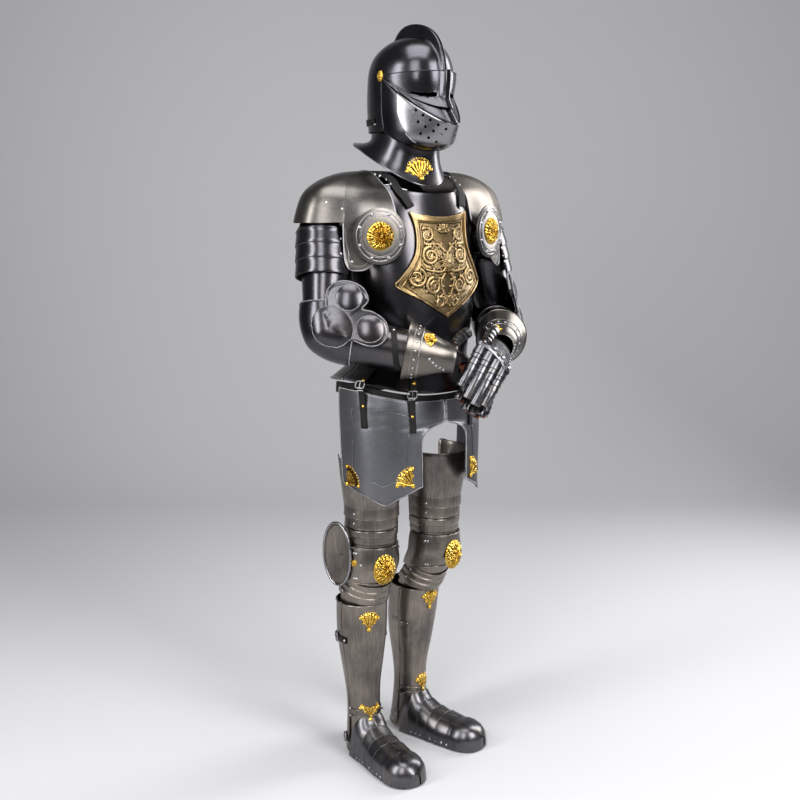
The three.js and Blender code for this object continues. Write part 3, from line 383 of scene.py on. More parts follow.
def mesh_piece(name, places, faces, material, body="harness", smooth=True):
    mesh = bpy.data.meshes.new(name)
    mesh.from_pydata([tuple(p) for p in places], [], faces)
    net = bmesh.new()
    net.from_mesh(mesh)
    bmesh.ops.remove_doubles(net, verts=net.verts, dist=0.000002)
    bmesh.ops.recalc_face_normals(net, faces=net.faces)
    net.to_mesh(mesh)
    net.free()
    mesh.materials.append(material)
    if smooth:
        mesh.shade_smooth()
        mesh.set_sharp_from_angle(angle=math.radians(FITTING_SHARP))
    obj = bpy.data.objects.new(name, mesh)
    bpy.context.scene.collection.objects.link(obj)
    if body:
        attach(obj, body)
    return obj


def rod_faces(centre, facing, radius, length, sides, base):
    across = facing.orthogonal().normalized()
    up = facing.cross(across)
    ends = []
    for end in (-length / 2, length / 2):
        for k in range(sides):
            a = 2 * math.pi * k / sides
            ends.append(centre + facing * end + (across * math.cos(a) + up * math.sin(a)) * radius)
    faces = [(base + k, base + (k + 1) % sides, base + sides + (k + 1) % sides, base + sides + k)
             for k in range(sides)]
    faces += [tuple(base + k for k in reversed(range(sides))), tuple(base + sides + k for k in range(sides))]
    return ends, faces


places, faces = [], []
for centre_mm in BREATHS + mirrored(BREATHS):
    centre, facing = spot("bevor", centre_mm)
    more, rods = rod_faces(centre, facing, BREATH_RADIUS * MM, PUNCH_LENGTH, PUNCH_SIDES, len(places))
    places += more
    faces += rods
punch = mesh_piece("breath_punch", places, faces, STRAP_LEATHER, body=None, smooth=False)
bevor = plates["bevor"]
cut = bevor.modifiers.new("breaths", "BOOLEAN")
cut.operation = "DIFFERENCE"
cut.object = punch
graph = bpy.context.evaluated_depsgraph_get()
pierced = bpy.data.meshes.new_from_object(bevor.evaluated_get(graph), depsgraph=graph)
bevor.modifiers.clear()
bevor.data = pierced
bpy.data.objects.remove(punch)
pierced.materials.clear()
pierced.materials.append(FACE_STEEL)
# Painted highlight: the front of the face plate above the given edge gets the pale colour, fading out over a few
# millimetres.
edge_x = [abs(p[0]) for p in reversed(HIGHLIGHT_EDGE)]
edge_z = [p[2] for p in reversed(HIGHLIGHT_EDGE)]
field = pierced.attributes.new("field", "FLOAT", "POINT")
for vertex, value in zip(pierced.vertices, field.data):
    x, y, z = (c / MM for c in vertex.co)
    on_front = abs(x) < HIGHLIGHT_HALF and y < HIGHLIGHT_FRONT
    inner = z - np.interp(abs(x), edge_x, edge_z) if on_front else -HIGHLIGHT_FAR
    value.value = max(-HIGHLIGHT_FAR, min(HIGHLIGHT_FAR, inner))
pierced.shade_smooth()
pierced.set_sharp_from_angle(angle=math.radians(PLATE_SHARP))
trees.pop("bevor")
print("bevor faces", len(pierced.polygons))

# %% [markdown]
# ## Rivets, beads and ropes
# A rivet's head is the same dome everywhere, a rolled rim is the same round bead along a path, and a
# roped border is one slanted bead repeated, so Geometry Nodes makes all three from points and paths.

# %% Geometry Nodes for rivets, beads and ropes
def node_tree(name, inputs):
    tree = bpy.data.node_groups.new(name, "GeometryNodeTree")
    tree.interface.new_socket("Geometry", in_out="INPUT", socket_type="NodeSocketGeometry")
    for label, kind in inputs:
        tree.interface.new_socket(label, in_out="INPUT", socket_type=kind)
    tree.interface.new_socket("Geometry", in_out="OUTPUT", socket_type="NodeSocketGeometry")
    return tree, add_node(tree, "NodeGroupInput").outputs


def close_tree(tree, shape, inputs):
    real = add_node(tree, "GeometryNodeRealizeInstances", {"Geometry": shape})
    soft = add_node(tree, "GeometryNodeSetShadeSmooth", {"Geometry": real.outputs["Geometry"]})
    dressed = add_node(tree, "GeometryNodeSetMaterial", {
        "Geometry": soft.outputs["Geometry"], "Material": inputs["Material"],
    })
    add_node(tree, "NodeGroupOutput", {"Geometry": dressed.outputs["Geometry"]})


def rivet_tree():
    tree, inputs = node_tree("rivet_heads", [("Flatness", "NodeSocketFloat"), ("Material", "NodeSocketMaterial")])
    ball = add_node(tree, "GeometryNodeMeshUVSphere", {"Segments": 12, "Rings": 8, "Radius": 1.0})
    flat = add_node(tree, "ShaderNodeCombineXYZ", {"X": 1.0, "Y": 1.0, "Z": inputs["Flatness"]})
    head = add_node(tree, "GeometryNodeTransform", {
        "Geometry": ball.outputs["Mesh"], "Scale": flat.outputs["Vector"],
    })
    facing = add_node(tree, "GeometryNodeInputNamedAttribute", {"Name": "facing"}, data_type="FLOAT_VECTOR")
    size = add_node(tree, "GeometryNodeInputNamedAttribute", {"Name": "size"}, data_type="FLOAT")
    turned = add_node(tree, "FunctionNodeAlignRotationToVector", {"Vector": facing.outputs["Attribute"]})
    spread = add_node(tree, "GeometryNodeInstanceOnPoints", {
        "Points": inputs["Geometry"], "Instance": head.outputs["Geometry"],
        "Rotation": turned.outputs["Rotation"], "Scale": size.outputs["Attribute"],
    })
    close_tree(tree, spread.outputs["Instances"], inputs)
    return tree


def bead_tree():
    tree, inputs = node_tree("round_bead", [("Radius", "NodeSocketFloat"), ("Material", "NodeSocketMaterial")])
    path = add_node(tree, "GeometryNodeMeshToCurve", {"Mesh": inputs["Geometry"]})
    ring = add_node(tree, "GeometryNodeCurvePrimitiveCircle", {"Resolution": 8, "Radius": inputs["Radius"]})
    tube = add_node(tree, "GeometryNodeCurveToMesh", {
        "Curve": path.outputs["Curve"], "Profile Curve": ring.outputs["Curve"], "Fill Caps": True,
    })
    close_tree(tree, tube.outputs["Mesh"], inputs)
    return tree


def rope_tree():
    tree, inputs = node_tree("roped_bead", [("Radius", "NodeSocketFloat"), ("Material", "NodeSocketMaterial")])
    path = add_node(tree, "GeometryNodeMeshToCurve", {"Mesh": inputs["Geometry"]})
    step = add_node(tree, "ShaderNodeMath", {0: inputs["Radius"], 1: 1.7}, operation="MULTIPLY")
    marks = add_node(tree, "GeometryNodeCurveToPoints", {
        "Curve": path.outputs["Curve"], "Length": step.outputs["Value"],
    }, mode="LENGTH")
    ball = add_node(tree, "GeometryNodeMeshUVSphere", {"Segments": 8, "Rings": 6, "Radius": inputs["Radius"]})
    strand = add_node(tree, "GeometryNodeTransform", {
        "Geometry": ball.outputs["Mesh"], "Scale": (0.8, 1.0, 1.35), "Rotation": (0.0, 0.75, 0.0),
    })
    spread = add_node(tree, "GeometryNodeInstanceOnPoints", {
        "Points": marks.outputs["Points"], "Instance": strand.outputs["Geometry"],
        "Rotation": marks.outputs["Rotation"],
    })
    close_tree(tree, spread.outputs["Instances"], inputs)
    return tree


RIVETS, BEADS, ROPES = rivet_tree(), bead_tree(), rope_tree()


def grown(name, mesh, tree, values, body="harness"):
    """The mesh that a tree makes from a bare mesh, as a finished piece."""
    work = bpy.data.objects.new(name + "_path", mesh)
    bpy.context.scene.collection.objects.link(work)
    growth = work.modifiers.new("growth", "NODES")
    growth.node_group = tree
    for item in tree.interface.items_tree:
        if item.in_out == "INPUT" and item.name in values:
            growth[item.identifier] = values[item.name]
    piece = finished(work, name, values["Material"])
    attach(piece, body)
    return piece


def smooth_path(points, spacing=5.0, closed=False):
    """Points in mm along a round curve through the given ones."""
    points = [np.array(p, float) for p in points]
    count = len(points)
    pick = (lambda i: points[i % count]) if closed else (lambda i: points[min(max(i, 0), count - 1)])
    out = []
    for i in range(count if closed else count - 1):
        a, b, c, d = pick(i - 1), pick(i), pick(i + 1), pick(i + 2)
        steps = max(2, int(np.linalg.norm(c - b) / spacing))
        for k in range(steps):
            t = k / steps
            out.append(0.5 * (2 * b + (c - a) * t + (2 * a - 5 * b + 4 * c - d) * t ** 2
                              + (3 * b - a - 3 * c + d) * t ** 3))
    return out + ([] if closed else [points[-1]])


rivets = {}
lines = {}
RIVET_SCALE = 1.2


def add_rivet(place, facing, size=3.4, kind="steel"):
    rivets.setdefault(kind, []).append((place, facing, size * RIVET_SCALE))


def rivet_at(node, place_mm, size, kind="steel"):
    add_rivet(*spot(node, place_mm), size, kind)


def add_line(kind, radius, places, closed=False, body="harness"):
    lines.setdefault((kind, radius, body), []).append((places, closed))


def line_on(node, points, lift, kind, radius, closed=False):
    """A bead along a plate, from points in mm."""
    add_line(kind, radius, [spot(node, p, lift)[0] for p in smooth_path(points, closed=closed)], closed)


# %% [markdown]
# ## Rolled and roped edges
# An armourer rolls or files the edge of every plate, and it catches the light as a thin bright line.
# The frame's coarse plates know where their edges are: an outer face that meets the narrow face of the
# wall. Those edges are chained into paths, and a bead follows them, in a pale metal that paints that bright line
# in.

# %% Rims
NARROW = 4.2         # mm: a face with a shorter side belongs to the edge of the wall
EDGE_ANGLE = 50      # degrees between an outer face and the edge of the wall
RUN_BREAK = 25       # mm: a longer jump starts a new bead
INSET_RADIUS = 0.9


def rim_loops(node, inside):
    """The outer edge lines of a plate, as chains of corners in metres."""
    net = facet_net(frame["nodes"][node].data)
    chosen = {}
    for edge in net.edges:
        if edge.calc_face_angle(0) < math.radians(EDGE_ANGLE):
            continue
        thin = [min(e.calc_length() for e in face.edges) < NARROW * MM for face in edge.link_faces]
        if thin[0] == thin[1]:
            continue
        wide = edge.link_faces[0 if thin[1] else 1]
        if wide.normal.dot(wide.calc_center_median() - inside) < 0:
            continue
        for vert, other in (edge.verts, reversed(edge.verts)):
            chosen.setdefault(vert.index, []).append(other.index)
    net.verts.ensure_lookup_table()
    loops = []
    left = {k: list(v) for k, v in chosen.items()}
    starts = [k for k, v in chosen.items() if len(v) == 1] + list(chosen)
    for start in starts:
        while left.get(start):
            chain, here = [start], start
            while left.get(here):
                there = left[here].pop()
                if here in left.get(there, []):
                    left[there].remove(here)
                chain.append(there)
                here = there
            loops.append([net.verts[k].co.copy() for k in chain])
    net.free()
    return [loop for loop in loops if len(loop) > 2]


def add_rims(node, inside, radius, kind="bright", keep=None, inset=0.0):
    """Beads on the outer edges of a plate, and if wanted a thin one further in."""
    body = frame["nodes"][node]["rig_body"]
    for loop in rim_loops(node, inside):
        closed = (loop[0] - loop[-1]).length < 1e-6
        points = [tuple(p / MM) for p in (loop[:-1] if closed else loop)]
        path = [Vector(p) for p in smooth_path(points, closed=closed)]
        if keep:
            path = [p for p in path if keep(p)]
            closed = False
        if len(path) < 3:
            continue
        runs, run = [], [path[0]]
        for a, b in zip(path, path[1:]):
            if (b - a).length > RUN_BREAK:
                runs.append(run)
                run = []
            run.append(b)
        runs.append(run)
        for run in runs:
            if len(run) > 2:
                add_line(kind, radius, [p * MM for p in run], closed and len(runs) == 1, body)
        if inset:
            middle = sum(path, Vector()) / len(path)
            inner = [spot(node, p + (middle - p).normalized() * inset, 0.4)[0] for p in path]
            add_line("bright", INSET_RADIUS, inner, closed, body)


def floor_mm(x, y, z):
    return Vector((x, y, z)) - CARRY_POINT


def on_side(sign, place_mm):
    """A place measured on the right side of the suit, for either side."""
    x, y, z = place_mm
    return (x * -sign, y, z)


SIDES = {"right": -1, "left": 1}
TASSET_LINE = [(-193, -51, -470), (-193.7, -50.8, -513), (-192.4, -48.3, -577), (-190.1, -46.6, -628),
               (-182.9, -78.3, -642), (-171.5, -104.1, -653), (-157.5, -122.3, -663), (-141.2, -137.5, -654),
               (-125, -148.8, -645), (-111.9, -156.2, -620), (-107.1, -157.9, -570), (-103.4, -157.3, -526),
               (-100.4, -157.4, -496), (-111.8, -152.1, -486), (-140.1, -136.6, -477), (-170.6, -108.2, -470)]
COLLAR_STEP = 12     # degrees between the places where the collar's lower edge is read
COLLAR_MIDDLE = 20   # mm that the collar's middle lies in front of the suit's
TORSO_INSIDE = floor_mm(0, 0, 1250) * MM
HEAD_INSIDE = floor_mm(0, -38, 1762) * MM
collar = {}
for corner in (v.co / MM for v in plates["gorget"].data.vertices):
    degrees = math.degrees(math.atan2(corner.x, -corner.y - COLLAR_MIDDLE))
    turn = round(degrees / COLLAR_STEP) % (360 // COLLAR_STEP)
    if turn not in collar or corner.z < collar[turn].z:
        collar[turn] = corner.copy()
collar_edge = [tuple(collar[turn]) for turn in sorted(collar)]
add_line("bright", 2.4, [Vector(p) * MM for p in smooth_path(collar_edge, closed=True)], True)
add_rims("breastplate", TORSO_INSIDE, 2.6, keep=lambda p: p.z > 40 and abs(p.x) < 125)
add_rims("breastplate", TORSO_INSIDE, 2.2, keep=lambda p: p.z < -380)
add_rims("backplate", TORSO_INSIDE, 2.2, keep=lambda p: p.z < -380 or p.z > 60)
add_rims("visor", HEAD_INSIDE, 1.2, "black")
add_rims("skull", HEAD_INSIDE, 1.5, "black", keep=lambda p: p.z < 260)
for side, sign in SIDES.items():
    shoulder = floor_mm(sign * 224, -8, 1390) * MM
    add_rims(side + "_pauldron", shoulder, 1.9, inset=11)
    add_rims(side + "_tasset", floor_mm(sign * 40, 0, 850) * MM, 1.9, "rope")
    line_on(side + "_tasset", [on_side(sign, place) for place in TASSET_LINE], 0.6, "satin", 1.6, closed=True)
    calf_inside = floor_mm(sign * 100, 45, 280) * MM
    add_rims(side + "_greave", calf_inside, 1.5, "leg")
    add_rims(side + "_greave_back", calf_inside, 1.4, "leg")
    add_rims(side + "_cuisse", floor_mm(sign * 103, 0, 720) * MM, 1.5, "leg")
print("rim lines", sum(len(v) for v in lines.values()))

# %% [markdown]
# ## Closed reliefs
# Cast fans, bosses and borders are thin closed shells that lie on a plate: a grid of places is lifted
# by a height, a second grid runs just under the surface, and the border between them is closed.


# %% Relief helpers
def shell_faces(rows, cols, wrap):
    def ring(i, j, level):
        return level * rows * cols + i * cols + j % cols
    faces = []
    span = cols if wrap else cols - 1
    for i in range(rows - 1):
        for j in range(span):
            a, b = (ring(i, j, 0), ring(i, j + 1, 0)), (ring(i + 1, j, 0), ring(i + 1, j + 1, 0))
            faces.append((a[0], a[1], b[1], b[0]))
            c, d = (ring(i, j, 1), ring(i, j + 1, 1)), (ring(i + 1, j, 1), ring(i + 1, j + 1, 1))
            faces.append((c[0], d[0], d[1], c[1]))
    for j in range(span):
        for i in (0, rows - 1):
            faces.append((ring(i, j, 0), ring(i, j + 1, 0), ring(i, j + 1, 1), ring(i, j, 1)))
    if not wrap:
        for i in range(rows - 1):
            for j in (0, cols - 1):
                faces.append((ring(i, j, 0), ring(i + 1, j, 0), ring(i + 1, j, 1), ring(i, j, 1)))
    return faces


def shell(name, top, under, material, wrap=False, body="harness"):
    """A closed shell between two equal grids of places (rows of Vectors)."""
    rows, cols = len(top), len(top[0])
    places = [p for row in top for p in row] + [p for row in under for p in row]
    return mesh_piece(name, places, shell_faces(rows, cols, wrap), material, body)


CLEAR = 0.016    # m that a place is held off the plate before it is laid on its outer face
FAN_KNOB = 4.2


def plate_axes(facing, up_way):
    """The ways up and across on a plate that faces a given way."""
    up = (up_way - facing * up_way.dot(facing)).normalized()
    return up, up.cross(facing)


def swung(up, across, angle):
    """The way at an angle from up, turned towards across."""
    return across * math.sin(angle) + up * math.cos(angle)


def petal(angle_share, count):
    phase = (angle_share * count) % 1.0
    return math.sqrt(max(0.0, 1 - (2 * phase - 1) ** 2))


def outer_spot(node, place_mm, inside_mm):
    """The outer face of a plate (or of several), on the line from a place inside the suit."""
    away = (Vector(place_mm) - Vector(inside_mm)).normalized()
    start = Vector(place_mm) * MM + away * 0.05
    hits = []
    for host in (node,) if isinstance(node, str) else node:
        hit = tree_of(host).ray_cast(start, -away, 0.12)
        if hit[0]:
            hits.append(hit)
    if not hits:
        return on_plate(node, start)
    best = min(hits, key=lambda hit: hit[3])
    return best[0], best[1]


def fan_relief(name, node, middle_mm, up_mm, inside_mm, radius, spread, petals=7, replaced=None):
    """A cast fan of petals with a knob at its root and one at each end, on a plate."""
    middle, facing = outer_spot(node, middle_mm, inside_mm)
    up, across = plate_axes(facing, Vector(up_mm).normalized())
    rings, marks = 12, petals * 8
    top, under = [], []
    for i in range(rings + 1):
        t = i / rings
        row, low = [], []
        for j in range(marks + 1):
            share = j / marks
            angle = math.radians(spread * (share - 0.5))
            lobe = petal(share, petals)
            reach = radius * t * (1 - 0.13 * (1 - lobe))
            flat = middle + swung(up, across, angle) * reach * MM
            height = (1.4 + 3.0 * lobe * min(1, t * 2.2)) * (1 - 0.35 * t) + 3.2 * max(0, 1 - t * 5)
            height += 1.0 * max(0, 1 - abs(t - 0.82) * 9) - 1.1 * max(0, 1 - abs(t - 0.42) * 11)
            place, way = on_plate(node, flat + facing * CLEAR)
            row.append(place + way * (0.3 if t == 1 else height) * MM)
            low.append(place - way * 0.5 * MM)
        top.append(row)
        under.append(low)
    piece = shell(name, top, under, BRASS)
    for share in (0.0, 1.0):
        angle = math.radians(spread * (share - 0.5))
        for reach, scale in ((radius * 0.96, 1.0), (radius * 0.55, 0.72)):
            flat = middle + swung(up, across, angle) * reach * MM + facing * CLEAR
            add_rivet(*on_plate(node, flat, 1.0), FAN_KNOB * scale, "brass")
    for k in range(petals * 2 + 1):
        angle = math.radians(spread * (k / petals / 2 - 0.5))
        flat = middle + swung(up, across, angle) * radius * 1.03 * MM + facing * CLEAR
        add_rivet(*on_plate(node, flat, 0.2), 2.0, "brass")
    add_rivet(*on_plate(node, middle, 2.5), 5.0, "brass")
    if replaced:
        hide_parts(replaced)


def rosette(name, centre, facing, across_mm, up_mm, dome, material, petals, leaf, lift=0.0,
            body="harness", crinkle=0.0):
    """A round boss with two tiers of petals and a bead in the middle."""
    facing = facing.normalized()
    up, across = plate_axes(facing, UP)
    rings, marks = 22, petals * 12
    top, under = [], []
    for i in range(rings + 1):
        t = i / rings
        row, low = [], []
        for j in range(marks):
            share = j / marks
            angle = 2 * math.pi * share
            outer = petal(share, petals)
            inner = petal(share + 0.5 / petals, petals)
            edge = 1 - 0.06 * (1 - petal(share, petals * 2))
            flat = (across * math.sin(angle) * across_mm + up * math.cos(angle) * up_mm) * t * edge * MM
            tier = inner * max(0, 1 - abs(t - 0.38) * 4.5) * 1.2 + outer * max(0, 1 - abs(t - 0.74) * 3.6)
            rise = dome * (1 - t * t) + leaf * tier + leaf * 1.1 * max(0, 1 - (t / 0.16) ** 2)
            wave = math.sin(angle * petals * 3 + 9 * t) * math.sin(19 * t + 2 * math.sin(angle * 5))
            rise += crinkle * wave * min(1, 3 * t)
            rise = rise * min(1, (1 - t) * 14) + lift
            row.append(centre + flat + facing * rise * MM)
            low.append(centre + flat * 0.995 - facing * 1.2 * MM)
        top.append(row)
        under.append(low)
    return shell(name, top, under, material, wrap=True, body=body)


# %% [markdown]
# ## Brass bosses and fans
# The round bosses on the armpit discs and knees, the temple pins and the fans on the skirt plates are
# brass castings, riveted through the steel.

# %% Bosses on the discs, knees and temples
def node_frame(node):
    """Centre, facing, lowest height and corners of a disc-shaped node."""
    corners = np.array([v.co[:] for v in frame["nodes"][node].data.vertices])
    middle = corners.mean(axis=0)
    _, _, axes = np.linalg.svd(corners - middle)
    facing = Vector(axes[2])
    outward = Vector((middle[0], middle[1] - 0.02, 0))
    if facing.dot(outward) < 0:
        facing = -facing
    flat = (corners - middle) @ np.array(facing)
    return Vector(middle), facing, flat.min(), corners


def boss_from(node, across, up, dome, petals, leaf, crinkle=0.0):
    middle, facing, low, _ = node_frame(node)
    piece = rosette(node + "_cast", middle + facing * low, facing, across, up, dome, BRASS, petals, leaf, 0.8,
                    frame["nodes"][node]["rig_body"], crinkle)
    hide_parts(node)


for side in SIDES:
    boss_from(side + "_knee_boss", 33, 40, 13, 9, 2.6, crinkle=1.6)
    boss_from(side + "_besagew_boss", 34, 34, 9, 10, 2.6, crinkle=2.0)
    boss_from(side + "_temple_rosette", 11, 13, 3.6, 6, 1.6)
    disc_middle, disc_facing, _, corners = node_frame(side + "_besagew")
    reach = np.linalg.norm(corners - np.array(disc_middle), axis=1).max()
    up, across = plate_axes(disc_facing, UP)
    for share, radius in ((0.94, 1.5), (0.80, 0.8), (0.74, 0.8)):
        ring = []
        for k in range(64):
            flat = disc_middle + swung(up, across, 2 * math.pi * k / 64) * reach * share
            ring.append(on_plate(side + "_besagew", flat + disc_facing * 0.02, 0.3)[0])
        add_line("bright", radius, ring, True)
    for k in range(8):
        flat = disc_middle + swung(up, across, 2 * math.pi * (k + 0.5) / 8) * reach * 0.87
        add_rivet(*on_plate(side + "_besagew", flat + disc_facing * 0.02, 0.6), 3.8, "steel")

# %% Fans on the skirt plates, collar and shins
FANS = [("right_tasset", "outer", (-191.2, -19, -668), (0.35, -1.0, 0.95), 46, 88),
        ("right_tasset", "inner", (-95.5, -163, -662), (-0.75, 0.35, 0.85), 46, 88)]
for node, corner, middle, up, radius, spread in FANS:
    hollow = (middle[0] * 0.4, middle[1] * 0.3, middle[2])
    fan_relief(f"{node}_fan_{corner}_cast", node, middle, up, hollow, radius, spread, 5, f"{node}_fan_{corner}")
    far = node.replace("right", "left")
    fan_relief(f"{far}_fan_{corner}_cast", far, *mirrored([middle, up, hollow]), radius, spread, 5,
               f"{far}_fan_{corner}")
fan_relief("gorget_fan_cast", "gorget", (-22, -103, 86), (0, 0.2, 1), (-6, -30, 60), 46, 124, 7, "gorget_fan")
SHIN_FANS = {"right": [((-128, -22, -1067), (0.08, 0, 1), 46, 92), ((-118, -14, -1322), (0.08, 0, 1), 42, 104)],
             "left": [((95, 2, -1060), (0.06, 0, 1), 46, 92), ((100, 30, -1308), (0.06, 0, 1), 42, 104)]}
for side, fans in SHIN_FANS.items():
    for k, (middle, up, radius, spread) in enumerate(fans):
        host = side + "_greave" if k == 0 else (side + "_greave", side + "_sabaton")
        hollow = (SIDES[side] * 104, 38 if side == "right" else 70, middle[2])
        fan_relief(f"{side}_shin_fan_{k + 1}", host, middle, up, hollow, radius, spread, 5)

# %% [markdown]
# ## The chest shield
# A bronze shield covers the chest, cast in high relief. This one carries a generic pattern of scrolls,
# leaves, two palmettes and a rosette inside a double frame. Each motif is a height over the shield's
# own surface, and one fine net takes the highest motif at every place.

# %% Relief on the shield
SHIELD_HALF = [(1438, 84), (1405, 77), (1372, 76), (1340, 82), (1310, 98), (1280, 118), (1264, 127),
               (1240, 93), (1212, 47), (1185, 0.5)]
SHIELD_CELL = 1.35
SHIELD_LOW, SHIELD_TOP = 1189, 1429
SHIELD_COLUMNS = 181
SHIELD_TREE = tree_of("chest_shield")


def shield_half(z):
    rows = SHIELD_HALF[::-1]
    return np.interp(z, [r[0] for r in rows], [r[1] for r in rows])


def scroll_curve(x, z, radius, start, turns, count=64):
    t = np.linspace(0, 1, count)
    angle = math.radians(start) + turns * 2 * math.pi * t
    reach = radius * (1 - 0.86 * t)
    return np.stack([x + reach * np.cos(angle), z + reach * np.sin(angle)], axis=1), 4.6 - 2.2 * t


def stem_curve(points, width):
    path = np.array([[p[0], p[2]] for p in smooth_path([(x, 0, z) for x, z in points], 3.0)])
    return path, np.linspace(width, width * 0.5, len(path))


def leaf_height(xs, zs, x, z, angle, length, width, rise):
    a = math.radians(angle)
    u = ((xs - x) * math.cos(a) + (zs - z) * math.sin(a)) / length
    v = (-(xs - x) * math.sin(a) + (zs - z) * math.cos(a)) / width
    inside = (u > 0) & (u < 1)
    shape = np.where(inside, np.sin(np.pi * np.clip(u, 0, 1) ** 0.8), 0)
    body = np.clip(1 - (v / np.maximum(shape, 0.05)) ** 2, 0, 1) * inside
    vein = 0.55 * np.exp(-(v / 0.16) ** 2) * inside
    return rise * (np.sqrt(body) - vein * (body > 0.1))


def shield_height(xs, zs):
    height = 0.35 * (np.sin(xs * 2.3) * np.sin(zs * 2.1))
    mirror_x = np.abs(xs)
    curves = [scroll_curve(50, 1384, 23, 250, 1.9), scroll_curve(46, 1334, 22, 90, -1.9),
              scroll_curve(84, 1282, 23, 120, 1.8), scroll_curve(40, 1262, 21, 80, -1.8),
              scroll_curve(24, 1222, 13, 100, 1.6),
              stem_curve([(6, 1300), (26, 1296), (60, 1302), (70, 1312)], 4.4),
              stem_curve([(8, 1345), (24, 1362), (42, 1361), (56, 1361)], 4.0),
              stem_curve([(10, 1290), (20, 1270), (12, 1240), (14, 1224)], 4.0)]
    for path, widths in curves:
        gap = np.hypot(mirror_x[..., None] - path[:, 0], zs[..., None] - path[:, 1])
        near = gap.argmin(axis=-1)
        wide = widths[near]
        across = np.take_along_axis(gap, near[..., None], axis=-1)[..., 0] / wide
        tube = np.sqrt(np.clip(1 - across ** 2, 0, 1)) * (0.7 + wide * 0.75)
        height = np.maximum(height, tube - 0.5 * np.exp(-(across / 0.22) ** 2) * (across < 1))
        for k in range(4, len(path) - 6, 6):
            step = path[k + 1] - path[k]
            for bend in (62, -62):
                angle = math.degrees(math.atan2(step[1], step[0])) + bend
                leaf = leaf_height(mirror_x, zs, *path[k], angle, 5.2 + widths[k] * 1.9, 3.1, 2.5)
                height = np.maximum(height, leaf)
    for x, z, turn, size in ((0, 1392, 90, 1.0), (0, 1236, 270, 0.8)):
        for bend, long in ((0, 34), (26, 31), (-26, 31), (52, 26), (-52, 26), (80, 20), (-80, 20)):
            leaf = leaf_height(xs, zs, x, z, turn + bend, long * size, 6.4 * size, 4.6)
            height = np.maximum(height, leaf)
    for ring, count, long, rise in ((0, 12, 27, 5.0), (15, 12, 18, 6.6)):
        for k in range(count):
            leaf = leaf_height(xs, zs, 0, 1320, ring + k * 360 / count, long, 5.6, rise)
            height = np.maximum(height, leaf)
    bud = np.hypot(xs, zs - 1320)
    height = np.maximum(height, np.sqrt(np.clip(1 - (bud / 8) ** 2, 0, 1)) * 8.5)
    half = shield_half(zs)
    depth = np.minimum(half - mirror_x, 1430 - zs)
    for place, width, rise in ((5.5, 2.3, 3.6), (11.5, 1.6, 2.4)):
        frame_bead = np.sqrt(np.clip(1 - ((depth - place) / width) ** 2, 0, 1)) * rise
        height = np.where(depth < 15, np.maximum(frame_bead, 0.2), height)
    return height * np.clip(depth / 2.5, 0, 1)


xs_line = np.linspace(-1, 1, SHIELD_COLUMNS)
zs_line = np.arange(SHIELD_LOW, SHIELD_TOP, SHIELD_CELL)
xs_grid = np.array([xs_line * (shield_half(z) - 0.8) for z in zs_line])
zs_grid = np.repeat(zs_line[:, None], len(xs_line), axis=1)
heights = shield_height(xs_grid, zs_grid)
top, under = [], []
for i in range(len(zs_line)):
    row, low = [], []
    for j in range(len(xs_line)):
        x, z = xs_grid[i, j], zs_grid[i, j]
        dip = 13 * (1 - xs_line[j] ** 2) * max(0.0, z - 1400) / 38
        start = Vector((x, -300 - CARRY_POINT.y, z - dip - CARRY_POINT.z)) * MM
        hit, facing, _, _ = SHIELD_TREE.ray_cast(start, Vector((0, 1, 0)), 0.4)
        if hit is None:
            hit, facing, _, _ = SHIELD_TREE.find_nearest(start + Vector((0, 0.15, 0)))
        row.append(hit + facing * (heights[i, j] * 1.15 + 0.1) * MM)
        low.append(hit - facing * 0.6 * MM)
    top.append(row)
    under.append(low)
shell("chest_shield_relief", top, under, BRONZE)
add_rims("chest_shield", floor_mm(0, 0, 1300) * MM, 2.0, "bronze")
print("shield net", len(zs_line), len(xs_line))

# %% [markdown]
# ## Limbs
# Arms and legs bend differently, so each bone has its own frame: a start, an axis, a front and a side.
# One table then serves both sides, with turns counted outwards from the front.


# %% Bones of the limbs
def bone(sign, start, end, front):
    start, end = floor_mm(*start) * MM, floor_mm(*end) * MM
    axis = (end - start).normalized()
    front = Vector(front)
    front = (front - axis * front.dot(axis)).normalized()
    return {"start": start, "axis": axis, "front": front, "side": front.cross(axis), "sign": sign}


JOINTS = {
    "right": {"shoulder": (-226, 6, 1424), "elbow": (-284, -54, 1150), "wrist": (-46, -268, 1092),
              "knuckle": (58, -210, 1048), "spread": (-0.45, -0.88, -0.1), "hand_start": 19.4,
              "fingers": ((0.5, 0, -0.85), (-0.75, -0.15, -0.65)),
              "hip": (-104, -6, 860), "knee": (-104, 4, 545), "calf": (-106, 40, 430),
              "ankle": (-103, 42, 110), "toe": (-124, -170, 0)},
    "left": {"shoulder": (222, -22, 1414), "elbow": (290, -38, 1146), "wrist": (106, -252, 1108),
             "knuckle": (28, -308, 1092), "spread": (0.42, -0.5, -0.75), "hand_start": -2.6,
             "fingers": ((-0.62, -0.1, -0.72), (-0.36, 0.3, -0.88)),
             "hip": (104, -16, 860), "knee": (100, -4, 545), "calf": (94, 62, 430),
             "ankle": (90, 88, 110), "toe": (132, -98, 0)},
}
BONES = {}
for side, j in JOINTS.items():
    sign = SIDES[side]
    ahead = (j["toe"][0] - j["ankle"][0], j["toe"][1] - j["ankle"][1], 0)
    BONES[side] = {
        "lower": bone(sign, j["elbow"], j["wrist"], (-sign, 0, 0)),
        "upper": bone(sign, j["shoulder"], j["elbow"], (0, -1, 0)),
        "thigh": bone(sign, j["hip"], j["knee"], (sign * 0.15, -1, 0)),
        "shin": bone(sign, j["knee"], j["calf"], ahead),
        "calf": bone(sign, j["calf"], j["ankle"], ahead),
    }


